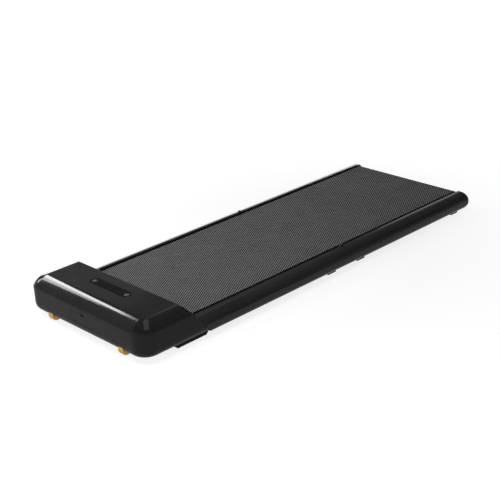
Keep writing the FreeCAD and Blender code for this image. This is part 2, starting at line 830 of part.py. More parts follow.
# Frames: two hollow beams and the cross members between them
def beam(name, start, end):
    solid = block(name, (rail_in, beam_out), (start, end), (beam_low, beam_high))
    bore = block(name + "_bore", (f"{rail_in} + beam_wall", f"{beam_out} - beam_wall"), past((start, end)),
                 (f"{beam_low} + beam_wall", f"{beam_high} - beam_wall"))
    return cut(solid, bore)


def member_places(first, last):
    step = f"(({last} - {first}) / {member_count - 1})"
    return [f"({first} + {step} * {number})" for number in range(member_count)]


front_members = member_places(f"({beam_front} + member_end)", f"({fold} - member_end)")
rear_members = member_places(f"({fold} + member_end)", f"({rear_roller_y} - member_end - deck_roller_gap)")


def member(name, place):
    solid = block(name, across(rail_in), about(place, "member_width / 2"), (member_low, member_high))
    bore = block(name + "_bore", across(rail_in), about(place, "member_width / 2 - member_wall"),
                 (f"{member_low} + member_wall", f"{member_high} - member_wall"))
    return cut(solid, bore)


def deck_screw_rods(name, places, radius, span):
    return group(name, *[rod(name + "_one", "z", radius, span, (across_place, place))
                         for place in places for across_place in across(f"{rail_in} - deck_screw_inset")])


def build_frames():
    relief = hinge_relief("frame_relief")
    clear = "deck_screw + fit_gap"
    front_beam = beam("front_beam", beam_front, fold_front)
    plate = block("axle_plate", (beam_out, plate_out),
                  (f"{front_roller_y} - plate_front", f"{beam_front} + plate_lap"),
                  (chassis_low, f"{beam_high} - plate_drop"))
    axle_hole = rod("axle_hole", "x", "axle_radius + run_gap", past((beam_out, plate_out)),
                    (front_roller_y, roller_z))
    plate = cut(plate, axle_hole)
    chassis_front = f"({front} + chassis_setback)"
    chassis_rear = f"{front_roller_y} - chassis_roller_gap"
    floor = (chassis_low, chassis_high)
    tray = block("chassis_tray", across(rail_in), (chassis_front, chassis_rear), floor)
    tie = block("chassis_tie", across(plate_out), (f"{chassis_front} + chassis_step", chassis_rear), floor)
    boss_ways = boss_rods("boss_way", "boss_radius + boss_clearance", past(floor))
    members = [member("front_member", place) for place in front_members]
    chassis = cut(joined("chassis", tray, tie), *boss_ways)
    sides = [front_beam, mirrored(front_beam), plate, mirrored(plate)]
    welded = joined("front_weldment", *sides, chassis, *members)
    holes = deck_screw_rods("front_screw_ways", front_members, clear,
                            (f"{member_high} - member_wall - fit_gap", f"{member_high} + overrun"))
    node("front_frame", cut(welded, holes, relief, neck_way("front_frame_neck", ear_front, "-1")))

    rear_beam = beam("rear_beam", fold_rear, beam_rear)
    end_span = (f"{beam_rear} - beam_wall", beam_rear)
    end_plate = block("beam_end", (rail_in, beam_out), end_span, (beam_low, beam_high))
    bolt_hole = rod("bolt_hole", "y", "tension_bolt + fit_gap", past(end_span), (bolt_x, roller_z))
    slot = block("axle_slot", (f"{rail_in} - overrun", f"{rail_in} + beam_wall + fit_gap"),
                 about(rear_roller_y, "take_up_travel"), about(roller_z, "axle_radius + fit_gap"))
    rear_beam = cut(joined("rear_beam_closed", rear_beam, end_plate), bolt_hole, slot)
    members = [member("rear_member", place) for place in rear_members]
    welded = joined("rear_weldment", rear_beam, mirrored(rear_beam), *members)
    holes = deck_screw_rods("rear_screw_ways", rear_members, clear,
                            (f"{member_high} - member_wall - fit_gap", f"{member_high} + overrun"))
    node("rear_frame", cut(welded, holes, relief, neck_way("rear_frame_neck", ear_rear, "1")))


# Fold hinge: a block in each beam end, with a knuckle that stands above the rail
def hinge_block(name, ear, near, end, neck_span):
    solid = block(name, (ear_front, f"{beam_out} - beam_wall - fit_gap"), (near, end),
                  (f"{beam_low} + beam_wall + fit_gap", f"{beam_high} - beam_wall - fit_gap"))
    width = (ear, f"{ear} + knuckle_width")
    neck = block(name + "_neck", width, neck_span, (f"{beam_high} - neck_root", hinge_z))
    knuckle = rod(name + "_knuckle", "x", "knuckle_radius", width, (fold, hinge_z))
    bore = rod(name + "_bore", "x", "hinge_pin_radius + run_gap", past(width), (fold, hinge_z))
    return cut(joined(name + "_whole", solid, neck, knuckle), bore)


def build_hinge():
    ahead = hinge_block("front_hinge", ear_front, f"{fold_front} - hinge_block_length", fold_front,
                        (f"{fold} - neck_depth", fold))
    behind = hinge_block("rear_hinge", ear_rear, fold_rear, f"{fold_rear} + hinge_block_length",
                         (fold, f"{fold} + neck_depth"))
    node("front_hinge_blocks", pair("front_hinge_pair", ahead))
    node("rear_hinge_blocks", pair("rear_hinge_pair", behind))
    pivot = rod("hinge_pin", "x", "hinge_pin_radius", (ear_front, ear_end), (fold, hinge_z))
    node("hinge_pins", pair("hinge_pin_pair", pivot))


# Rollers: a drum with an end plug each side, on bearings that turn round a fixed axle
def drum(name, place):
    centre = (place, roller_z)
    solid = rod(name, "x", "roller_radius", across(drum_end), centre)
    hollow_span = across(f"{drum_end} - plug_length")
    hollow = rod(name + "_hollow", "x", "roller_radius - roller_wall", hollow_span, centre)
    seat = rod(name + "_seat", "x", "bearing_radius + run_gap",
               (f"{drum_end} - plug_length + plug_lip", f"{drum_end} + overrun"), centre)
    bore = rod(name + "_bore", "x", "plug_bore", past(across(drum_end)), centre)
    return cut(solid, hollow, seat, mirrored(seat), bore)


def bearings(name, place):
    ring = tube(name, "x", "bearing_radius", "axle_radius + run_gap",
                (f"{drum_end} - plug_length + plug_lip", drum_end), (place, roller_z))
    return pair(name + "_pair", ring)


def pulley(name, radius, bore, centre, hub):
    rim = rod(name + "_rim", "x", radius, (pulley_left, pulley_right), centre)
    inner = rod(name + "_inner", "x", f"{radius} + pulley_flange_rise",
                (pulley_left, f"{pulley_left} + pulley_flange"), centre)
    outer = rod(name + "_outer", "x", f"{radius} + pulley_flange_rise",
                (f"{pulley_right} - pulley_flange", pulley_right), centre)
    way = rod(name + "_way", "x", bore, past((drum_end, pulley_right)), centre)
    return cut(joined(name + "_solid", rim, inner, outer, *hub), way)


def build_rollers():
    ahead = (front_roller_y, roller_z)
    behind = (rear_roller_y, roller_z)
    node("front_roller_drum", drum("front_drum", front_roller_y))
    node("rear_roller_drum", drum("rear_drum", rear_roller_y))
    node("front_roller_bearings", bearings("front_bearing", front_roller_y))
    node("rear_roller_bearings", bearings("rear_bearing", rear_roller_y))
    spindle = rod("front_spindle", "x", "axle_radius", across(f"{plate_out} + axle_nut_width"), ahead)
    nut = rod("axle_nut", "x", "axle_nut_radius", (plate_out, f"{plate_out} + axle_nut_width"), ahead)
    node("front_roller_axle", joined("front_axle_whole", spindle, nut, mirrored(nut)))
    rear_span = across(f"{beam_out} - beam_wall - axle_end_gap")
    node("rear_roller_axle", rod("rear_spindle", "x", "axle_radius", rear_span, behind))
    hub = rod("driven_hub", "x", "pulley_hub", (drum_end, pulley_left), ahead)
    bore = "axle_radius + pulley_bore_gap"
    node("driven_pulley", pulley("driven", "driven_pulley_radius", bore, ahead, [hub]))


def build_take_up():
    bolt_tip = f"({rear_roller_y} + axle_radius + run_gap)"
    solid = block("take_up_block", (ear_front, f"{beam_out} - beam_wall - fit_gap"),
                  about(rear_roller_y, "take_up_half"),
                  (f"{beam_low} + beam_wall + fit_gap", f"{beam_high} - beam_wall - fit_gap"))
    axle_way = rod("take_up_axle_way", "x", "axle_radius + run_gap", past((rail_in, beam_out)),
                   (rear_roller_y, roller_z))
    bolt_way = rod("take_up_bolt_way", "y", "tension_bolt + run_gap",
                   (bolt_tip, f"{rear_roller_y} + take_up_half + overrun"), (bolt_x, roller_z))
    node("take_up_blocks", pair("take_up_pair", cut(solid, axle_way, bolt_way)))
    shank_span = (f"{bolt_tip} + fit_gap", beam_rear)
    shank = rod("tension_shank", "y", "tension_bolt", shank_span, (bolt_x, roller_z))
    head = rod("tension_cap", "y", "tension_head", (beam_rear, f"{beam_rear} + tension_head_length"),
               (bolt_x, roller_z))
    node("tension_bolts", pair("tension_bolt_pair", joined("tension_bolt_whole", shank, head)))


# Walking belt: one loop, made as a run on each half so that it can follow the fold
def belt_run(name, place, fold_edge, toward):
    across_belt = across("belt_width / 2")
    span = (place, fold_edge) if toward == "-1" else (fold_edge, place)
    upper = block(name + "_upper", across_belt, span, (f"{belt_high} - belt_thickness", belt_high))
    lower = block(name + "_lower", across_belt, span,
                  (f"{roller_z} - {belt_outer}", f"{roller_z} - {belt_inner}"))
    ring = tube(name + "_ring", "x", belt_outer, belt_inner, across_belt, (place, roller_z))
    beyond = f"{place} + ({toward}) * ({belt_outer} + overrun)"
    half_span = (beyond, place) if toward == "-1" else (place, beyond)
    half = block(name + "_half", past(across_belt), half_span, about(roller_z, f"{belt_outer} + overrun"))
    return joined(name, upper, lower, common(ring, half))


def build_belt():
    node("belt_front_run", belt_run("front_loop", front_roller_y, f"{fold} - belt_split / 2", "-1"))
    node("belt_rear_run", belt_run("rear_loop", rear_roller_y, f"{fold} + belt_split / 2", "1"))


# Deck: a board on rubber strips, screwed down to the cross members
def build_deck(half, places, span):
    clear = "deck_screw + fit_gap"
    head_low = f"{deck_high} - deck_screw_sink - deck_screw_head_height"
    board = block(half + "_board", across(f"{rail_in} - deck_side_gap"), span, (deck_low, deck_high))
    ways = deck_screw_rods(half + "_deck_ways", places, clear, past((deck_low, deck_high)))
    sinks = deck_screw_rods(half + "_deck_sinks", places, "deck_screw_head + fit_gap",
                            (head_low, f"{deck_high} + overrun"))
    node(half + "_deck", cut(board, ways, sinks))
    strip_span = across(f"{rail_in} - cushion_end_gap")
    strips = [block(half + "_strip", strip_span, about(place, "cushion_width / 2"), (member_high, deck_low))
              for place in places]
    strip_ways = deck_screw_rods(half + "_strip_ways", places, clear, past((member_high, deck_low)))
    node(half + "_cushions", cut(group(half + "_strips", *strips), strip_ways))
    shank_span = (f"{member_high} - deck_screw_reach", head_low)
    head_span = (head_low, f"{head_low} + deck_screw_head_height")
    screws = []
    for place in places:
        for x in across(f"{rail_in} - deck_screw_inset"):
            shank = rod(half + "_shank", "z", "deck_screw", shank_span, (x, place))
            head = rod(half + "_head", "z", "deck_screw_head", head_span, (x, place))
            screws.append(joined(half + "_screw", shank, head))
    node(half + "_deck_screws", group(half + "_screw_set", *screws))


# Underside pans: bent sheet between the beams, below the belt
def pan(name, start, end):
    low = "(foot_height + pan_lift)"
    high = f"({member_low} - pan_flange_gap)"
    floor = f"({low} + pan_thickness)"
    inner = f"({rail_in} - pan_thickness)"
    corners = [
        (f"-{rail_in}", low), (rail_in, low), (rail_in, high), (inner, high),
        (inner, floor), (f"-{inner}", floor), (f"-{inner}", high), (f"-{rail_in}", high),
    ]
    return padded(name, "front", corners, start, end)


def build_pans():
    head_end = f"{front} + hood_length + skirt_run + pan_head_gap"
    node("front_pan", pan("front_pan_sheet", head_end, f"{fold} - pan_fold_gap"))
    node("rear_pan", pan("rear_pan_sheet", f"{fold} + pan_fold_gap", f"{rear} - pan_rear_gap"))


def foot(name, span, slope):
    start, end = span
    corners = [(f"{start} + {slope}", "0"), (f"{end} - {slope}", "0"),
               (end, "foot_height"), (start, "foot_height")]
    return pair(name + "_pair", padded(name, "side", corners, rail_in, f"{rail_in} + foot_width"))


def build_feet():
    head_span = (f"{rear_boss_y} + head_foot_gap", f"{front} + hood_length + skirt_run + head_foot_lap")
    node("head_feet", foot("head_foot", head_span, "head_foot_slope"))
    places = {
        "front_fold": f"({fold} - fold_foot_offset)",
        "rear_fold": f"({fold} + fold_foot_offset)",
        "rear": f"({rear} - rear_foot_setback)",
    }
    for name, place in places.items():
        node(name + "_feet", foot(name + "_foot", about(place, "foot_length / 2"), "foot_slope"))


# Transport wheels, each on a pin between the cheeks of a bracket
def build_wheels():
    centre = (wheel_y, wheel_z)
    middle = wheel_x
    half = "wheel_width / 2"
    bracket_half = f"{half} + wheel_side_gap"
    wheel = tube("wheel_blank", "x", "wheel_radius", "wheel_axle + run_gap", about(middle, half), centre)
    recesses = [
        tube("wheel_dish", "x", "wheel_rim", "wheel_hub", span, centre) for span in (
            (f"{middle} - {half} - overrun", f"{middle} - {half} + wheel_recess"),
            (f"{middle} + {half} - wheel_recess", f"{middle} + {half} + overrun"))
    ]
    wheel = cut(wheel, *recesses)
    node("right_wheel", wheel)
    node("left_wheel", mirrored(wheel))
    pivot = rod("wheel_pin", "x", "wheel_axle", about(middle, f"{bracket_half} + cheek_thickness"), centre)
    node("wheel_axles", pair("wheel_pin_pair", pivot))
    top = f"{wheel_z} + wheel_radius + wheel_play"
    wide = about(middle, f"{bracket_half} + cheek_thickness")
    deep = about(wheel_y, "cheek_length / 2")
    stock = block("bracket_stock", wide, deep, (beam_low, f"{top} + bracket_top"))
    gap = block("bracket_gap", about(middle, bracket_half), past(deep), (below_head, top))
    hole = rod("bracket_hole", "x", "wheel_axle + run_gap", past(wide), centre)
    node("wheel_brackets", pair("bracket_pair", cut(common(stock, head_inside), gap, hole)))


# Motor and drive
def build_motor():
    centre = (motor_y, motor_z)
    case = rod("motor_blank", "x", "motor_radius", (motor_left, motor_right), centre)
    case = round_ends("motor_rounded", case, "motor_round")
    bore = rod("motor_bore", "x", "motor_shaft + run_gap", past((motor_left, motor_right)), centre)
    node("motor_case", cut(case, bore))
    ledge = f"{motor_z} - cradle_drop"
    cradle_span = about(motor_y, "motor_radius + cradle_margin")
    cradle = block("cradle_stock", (f"{motor_left} + cradle_inset", f"{motor_right} - cradle_inset"),
                   cradle_span, (chassis_high, ledge))
    hollow = rod("cradle_hollow", "x", "motor_radius + fit_gap", past((motor_left, motor_right)), centre)
    node("motor_cradle", cut(cradle, hollow))
    band_span = about(f"({motor_left} + {motor_right}) / 2", "strap_width / 2")
    inside = "motor_radius + fit_gap"
    band = tube("strap_band", "x", f"{inside} + strap_thickness", inside, band_span, centre)
    upper = block("strap_upper", past(band_span), cradle_span, (ledge, above_head))
    lugs = block("strap_lugs", band_span, cradle_span, (ledge, f"{ledge} + lug_thickness"))
    strap_hollow = rod("strap_hollow", "x", inside, past(band_span), centre)
    node("motor_strap", cut(joined("strap_whole", common(band, upper), lugs), strap_hollow))
    shaft_span = (f"{motor_left} + motor_shaft_start", f"{pulley_right} + shaft_stub")
    fan_span = (f"{motor_right} + fan_gap", f"{motor_right} + fan_gap + fan_width")
    shaft = rod("rotor_shaft", "x", "motor_shaft", shaft_span, centre)
    fan = rod("rotor_fan", "x", "fan_radius", fan_span, centre)
    node("motor_rotor", joined("rotor_whole", shaft, fan))
    node("motor_pulley", pulley("motor_drive", "motor_pulley_radius", "motor_shaft + run_gap", centre, []))


def build_drive_belt():
    start = f"{pulley_left} + pulley_flange + drive_belt_gap"
    end = f"{pulley_right} - pulley_flange - drive_belt_gap"
    body, outline = sketched("drive_belt_loop", "side", start)
    for grow in ("roller_gap + drive_belt_thickness", "roller_gap"):
        draw_loop(outline, (motor_y, motor_z), f"motor_pulley_radius + {grow}",
                  (front_roller_y, roller_z), f"driven_pulley_radius + {grow}")
    node("drive_belt", pad(body, outline, "side", start, end))


def build_controller():
    left = f"(-{rail_in} + board_side_gap)"
    right = f"({left} + board_width)"
    near = f"({front} + board_setback)"
    far = f"({near} + board_depth)"
    low = f"({chassis_high} + standoff_height)"
    high = f"({low} + board_thickness)"
    board = block("board_blank", (left, right), (near, far), (low, high))
    posts = [rod("standoff", "z", "standoff_radius", (chassis_high, low), (x, y))
             for x in (f"{left} + standoff_inset", f"{right} - standoff_inset")
             for y in (f"{near} + standoff_inset", f"{far} - standoff_inset")]
    node("controller_board", joined("board_on_standoffs", board, *posts))
    sink_left = f"({left} + sink_inset)"
    depth = (f"{near} + sink_inset", f"{far} - sink_inset")
    wide = (sink_left, f"{sink_left} + sink_width")
    base = block("sink_plate", wide, depth, (high, f"{high} + sink_base"))
    pitch = f"((sink_width - fin_thickness) / {fin_count - 1})"
    fins = []
    for number in range(fin_count):
        fin_left = f"({sink_left} + {pitch} * {number})"
        fin_span = (fin_left, f"{fin_left} + fin_thickness")
        fins.append(block("fin", fin_span, depth, (high, f"{high} + sink_height")))
    node("heat_sink", joined("sink_whole", base, *fins))


build_casing()
build_display()
build_power_bay()
build_rails()
build_frames()
build_hinge()
build_rollers()
build_take_up()
build_belt()
build_deck("front", front_members, (f"{front_roller_y} + deck_roller_gap", f"{fold} - deck_fold_gap"))
build_deck("rear", rear_members, (f"{fold} + deck_fold_gap", f"{rear_roller_y} - deck_roller_gap"))
build_pans()
build_feet()
build_wheels()
build_motor()
build_drive_belt()
build_controller()
doc.recompute()

for item in doc.Objects:
    if "Invalid" in item.State or "Error" in item.State:
        raise RuntimeError(f"{item.Name} failed: {item.State}")
for item in nodes:
    if item.Shape.isNull() or not item.Shape.isValid():
        raise RuntimeError(f"{item.Label} has no valid shape")

os.makedirs("parts", exist_ok=True)
for item in nodes:
    item.Shape.exportStep(f"parts/{item.Label}.step")
    print(item.Label, len(item.Shape.Solids), round(item.Shape.Volume))
print(len(nodes), "nodes")
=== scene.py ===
import json
import math

import bmesh
import bpy
from mathutils import Matrix, Vector


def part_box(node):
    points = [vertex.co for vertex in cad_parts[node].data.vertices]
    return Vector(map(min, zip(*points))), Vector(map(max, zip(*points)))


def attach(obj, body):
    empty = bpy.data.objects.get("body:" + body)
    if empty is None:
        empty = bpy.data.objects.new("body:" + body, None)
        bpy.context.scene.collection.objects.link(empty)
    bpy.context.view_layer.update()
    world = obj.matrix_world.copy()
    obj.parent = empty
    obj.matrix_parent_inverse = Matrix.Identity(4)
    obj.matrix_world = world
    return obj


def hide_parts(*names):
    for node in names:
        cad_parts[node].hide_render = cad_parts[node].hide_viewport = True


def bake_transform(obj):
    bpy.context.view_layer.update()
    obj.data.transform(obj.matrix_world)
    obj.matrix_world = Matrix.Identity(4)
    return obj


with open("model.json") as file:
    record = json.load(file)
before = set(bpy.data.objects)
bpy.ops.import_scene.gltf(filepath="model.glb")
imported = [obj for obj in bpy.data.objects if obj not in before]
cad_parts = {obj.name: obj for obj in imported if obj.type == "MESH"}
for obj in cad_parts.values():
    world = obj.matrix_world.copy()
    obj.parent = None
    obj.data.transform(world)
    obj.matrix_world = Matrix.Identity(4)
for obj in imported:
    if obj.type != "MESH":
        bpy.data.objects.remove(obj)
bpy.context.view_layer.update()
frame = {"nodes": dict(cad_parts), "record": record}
nodes = frame["nodes"]
slotOf = {part["node"]: part["material_slot"] for part in frame["record"]["subparts"]}
scene = bpy.context.scene
scene.view_settings.view_transform = "Standard"
mergeGap = 1e-6    # spots closer than this are one
spotGap = 1e-5     # slack where a spot is looked up by its place

# Camera at the photograph's angle
cameraSet = {
    "place": (2.33085, -2.2735, 1.44279),
    "target": (-0.0794, 0.0046, 0.0),
    "roll": math.radians(-3.02),
    "lens": 82.02,
    "sensor": 36.0,
}


def addCamera():
    data = bpy.data.cameras.new("photoCamera")
    data.lens = cameraSet["lens"]
    data.sensor_width = cameraSet["sensor"]
    camera = bpy.data.objects.new("photoCamera", data)
    scene.collection.objects.link(camera)
    place = Vector(cameraSet["place"])
    back = (place - Vector(cameraSet["target"])).normalized()
    right = Vector((0, 0, 1)).cross(back).normalized()
    axes = Matrix((right, back.cross(right), back)).transposed()
    turned = Matrix.Rotation(cameraSet["roll"], 3, back) @ axes
    camera.matrix_world = Matrix.Translation(place) @ turned.to_4x4()
    scene.camera = camera


addCamera()
print("camera set")

# Studio: a dim room, soft boxes and a pale floor. Glow is what brings the floor to white,
# and it rises outwards, where the boxes' light falls off.
studio = {
    "room": (0.10, 0.10, 0.102),
    "floorSize": 40.0,
    "floorLevel": -0.0003,
    "floorColour": (0.22, 0.22, 0.22, 1),
    "floorGlow": (0.80, 1.0),
    "glowReach": (0.5, 1.6),
    # Soft boxes. Those that are not mirrored light the pad but stay out of its gloss
    "lamps": {
        "topBox": {"place": (-0.15, -1.15, 2.05), "aim": (-0.15, -1.15, 0), "size": (1.8, 1.8),
                   "watts": 12.5, "spread": 84, "mirrored": False},
        "frontBox": {"place": (3.0, -3.6, 1.8), "aim": (0, -0.4, 0.05), "size": (2.0, 2.0),
                     "watts": 80, "mirrored": False},
        "backBox": {"place": (-3.30, 2.30, 0.62), "aim": (0, -0.2, 0.1), "size": (3.6, 1.25),
                    "watts": 60},
        "rearBox": {"place": (-1.6, 1.95, 3.0), "aim": (0.2, -0.6, 0.1), "size": (0.9, 0.6),
                    "watts": 0.6},
        "tailBox": {"place": (-2.2, 4.5, 1.65), "aim": (0.2, 0.6, 0.06), "size": (1.6, 1.0),
                    "watts": 5.0},
    },
    # Bright boards, given by their corners, which the glossy pieces mirror
    "boards": {
        "stripBoard": {"glow": 10.5, "corners": [
            (-2.25, 0.30, 1.38), (-2.25, 0.03, 2.33), (-2.25, -0.57, 2.43), (-2.25, -0.38, 1.69)]},
        "stripFill": {"glow": 7.0, "corners": [
            (-2.25, -0.38, 1.69), (-2.25, -0.62, 2.21), (-2.25, -0.76, 2.21), (-2.25, -0.96, 1.71)]},
        "curlBoard": {"glow": 9.0, "corners": [
            (-2.25, -0.62, 1.69), (-2.25, -0.96, 1.71), (-2.25, -1.26, 0.82), (-2.25, -1.00, 0.84)]},
        "curlFill": {"glow": 2.6, "corners": [
            (-2.25, -0.97, 1.71), (-2.25, -1.28, 1.62), (-2.25, -1.48, 1.00), (-2.25, -1.27, 0.82)]},
        "frontBoard": {"glow": 0.27, "corners": [
            (-2.60, -0.80, 3.30), (-2.60, -3.60, 3.30), (-2.60, -3.60, 0.02), (-2.60, -0.80, 0.02)]},
        "frontWall": {"glow": 0.30, "corners": [
            (-2.60, -3.60, 2.20), (0.60, -3.60, 2.20), (0.60, -3.60, 0.02), (-2.60, -3.60, 0.02)]},
        "ceilingBoard": {"glow": 0.75, "corners": [
            (-1.60, 0.55, 3.40), (-1.05, 1.45, 3.40), (2.90, -0.90, 3.40), (1.60, -2.25, 3.40)]},
        "backCeiling": {"glow": 0.22, "corners": [
            (-3.50, 2.30, 3.40), (2.80, 2.30, 3.40), (2.80, 7.00, 3.40), (-3.50, 7.00, 3.40)]},
        "tailWall": {"glow": 0.42, "corners": [
            (4.0, 3.20, 0.02), (4.0, 7.50, 0.02), (4.0, 7.50, 1.90), (4.0, 3.60, 1.90)]},
        "leftBoard": {"glow": 0.19, "corners": [
            (-2.60, 0.30, 0.90), (-2.60, 1.50, 0.90), (-2.60, 1.50, 1.75), (-2.60, 0.30, 1.75)]},
    },
}


def addLamp(name, look):
    data = bpy.data.lights.new(name, "AREA")
    data.shape = "RECTANGLE"
    data.size, data.size_y = look["size"]
    data.energy = look["watts"]
    data.spread = math.radians(look.get("spread", 180))
    lamp = bpy.data.objects.new(name, data)
    lamp.visible_camera = False
    lamp.visible_glossy = look.get("mirrored", True)
    scene.collection.objects.link(lamp)
    place = Vector(look["place"])
    aim = (Vector(look["aim"]) - place).to_track_quat("-Z", "Y").to_matrix().to_4x4()
    lamp.matrix_world = Matrix.Translation(place) @ aim


def addBoard(name, look):
    mesh = bpy.data.meshes.new(name)
    bm = bmesh.new()
    bm.faces.new([bm.verts.new(corner) for corner in look["corners"]])
    bm.to_mesh(mesh)
    bm.free()
    material = bpy.data.materials.new(name)
    material.use_nodes = True
    tree = material.node_tree
    tree.nodes.remove(tree.nodes["Principled BSDF"])
    glow = tree.nodes.new("ShaderNodeEmission")
    glow.inputs["Strength"].default_value = look["glow"]
    tree.links.new(glow.outputs[0], tree.nodes["Material Output"].inputs["Surface"])
    mesh.materials.append(material)
    board = bpy.data.objects.new(name, mesh)
    board.visible_camera = False
    board.visible_shadow = False
    scene.collection.objects.link(board)


def addRoom():
    room = bpy.data.worlds.new("studioRoom")
    room.use_nodes = True
    background = room.node_tree.nodes["Background"]
    background.inputs["Color"].default_value = (*studio["room"], 1)
    scene.world = room


def addFloor():
    mesh = bpy.data.meshes.new("studioFloor")
    bm = bmesh.new()
    bmesh.ops.create_grid(bm, x_segments=1, y_segments=1, size=studio["floorSize"] / 2,
                          matrix=Matrix.Translation((0, 0, studio["floorLevel"])))
    bm.to_mesh(mesh)
    bm.free()
    floor = bpy.data.objects.new("studioFloor", mesh)
    scene.collection.objects.link(floor)
    material = bpy.data.materials.new("paleFloor")
    material.use_nodes = True
    tree = material.node_tree
    tree.nodes.remove(tree.nodes["Principled BSDF"])
    matt = tree.nodes.new("ShaderNodeBsdfDiffuse")
    matt.inputs["Color"].default_value = studio["floorColour"]
    glow = tree.nodes.new("ShaderNodeEmission")
    path = tree.nodes.new("ShaderNodeLightPath")
    seen = path.outputs["Is Camera Ray"]
    for ray in ("Is Glossy Ray", "Is Transmission Ray"):
        seen = joinValues(tree, "MAXIMUM", seen, path.outputs[ray])
    away = tree.nodes.new("ShaderNodeVectorMath")
    away.operation = "LENGTH"
    tree.links.new(coordinates(tree), away.inputs[0])
    rising = remap(tree, away.outputs["Value"], *studio["glowReach"], *studio["floorGlow"])
    tree.links.new(joinValues(tree, "MULTIPLY", seen, rising), glow.inputs["Strength"])
    lit = tree.nodes.new("ShaderNodeAddShader")
    tree.links.new(matt.outputs[0], lit.inputs[0])
    tree.links.new(glow.outputs[0], lit.inputs[1])
    clear = tree.nodes.new("ShaderNodeBsdfTransparent")
    sided = tree.nodes.new("ShaderNodeMixShader")    # open from below, so the underside can be seen
    side = tree.nodes.new("ShaderNodeNewGeometry")
    tree.links.new(side.outputs["Backfacing"], sided.inputs["Fac"])
    tree.links.new(lit.outputs[0], sided.inputs[1])
    tree.links.new(clear.outputs[0], sided.inputs[2])
    tree.links.new(sided.outputs[0], tree.nodes["Material Output"].inputs["Surface"])
    mesh.materials.append(material)


# Small node tools that the finishes share
def joinValues(tree, operation, first, second=0.0):
    node = tree.nodes.new("ShaderNodeMath")
    node.operation = operation
    for socket, value in zip(node.inputs, (first, second)):
        if isinstance(value, (int, float)):
            socket.default_value = value
        else:
            tree.links.new(value, socket)
    return node.outputs["Value"]


def coordinates(tree, stretch=(1, 1, 1), source="Object"):
    texture = tree.nodes.new("ShaderNodeTexCoord")
    mapping = tree.nodes.new("ShaderNodeMapping")
    mapping.inputs["Scale"].default_value = stretch
    tree.links.new(texture.outputs[source], mapping.inputs["Vector"])
    return mapping.outputs["Vector"]


def noise(tree, vector, scale, detail=4.0):
    texture = tree.nodes.new("ShaderNodeTexNoise")
    texture.inputs["Scale"].default_value = scale
    texture.inputs["Detail"].default_value = detail
    tree.links.new(vector, texture.inputs["Vector"])
    return texture.outputs["Fac"]


def cells(tree, vector, scale):
    texture = tree.nodes.new("ShaderNodeTexVoronoi")
    texture.inputs["Scale"].default_value = scale
    tree.links.new(vector, texture.inputs["Vector"])
    return texture.outputs["Distance"]


def remap(tree, value, start, end, low, high):
    node = tree.nodes.new("ShaderNodeMapRange")
    for socket, number in zip(("From Min", "From Max", "To Min", "To Max"), (start, end, low, high)):
        node.inputs[socket].default_value = number
    tree.links.new(value, node.inputs["Value"])
    return node.outputs["Result"]


def tint(tree, factor, dark, light):
    node = tree.nodes.new("ShaderNodeMix")
    node.data_type = "RGBA"
    tree.links.new(factor, node.inputs["Factor"])
    colours = {"A_Color": dark, "B_Color": light}    # the node has sockets of the same name for numbers
    for socket in node.inputs:
        if socket.identifier in colours:
            socket.default_value = (*colours[socket.identifier], 1)
    return next(socket for socket in node.outputs if socket.identifier == "Result_Color")


def emboss(tree, shader, height, depth):
    node = tree.nodes.new("ShaderNodeBump")
    node.inputs["Distance"].default_value = depth
    tree.links.new(height, node.inputs["Height"])
    tree.links.new(node.outputs["Normal"], shader.inputs["Normal"])


def startMaterial(name, look):
    material = bpy.data.materials.new(name)
    material.use_nodes = True
    tree = material.node_tree
    shader = tree.nodes["Principled BSDF"]
    shader.inputs["Metallic"].default_value = look.get("metallic", 0.0)
    shader.inputs["Specular IOR Level"].default_value = look.get("specular", 0.5)
    return material, tree, shader


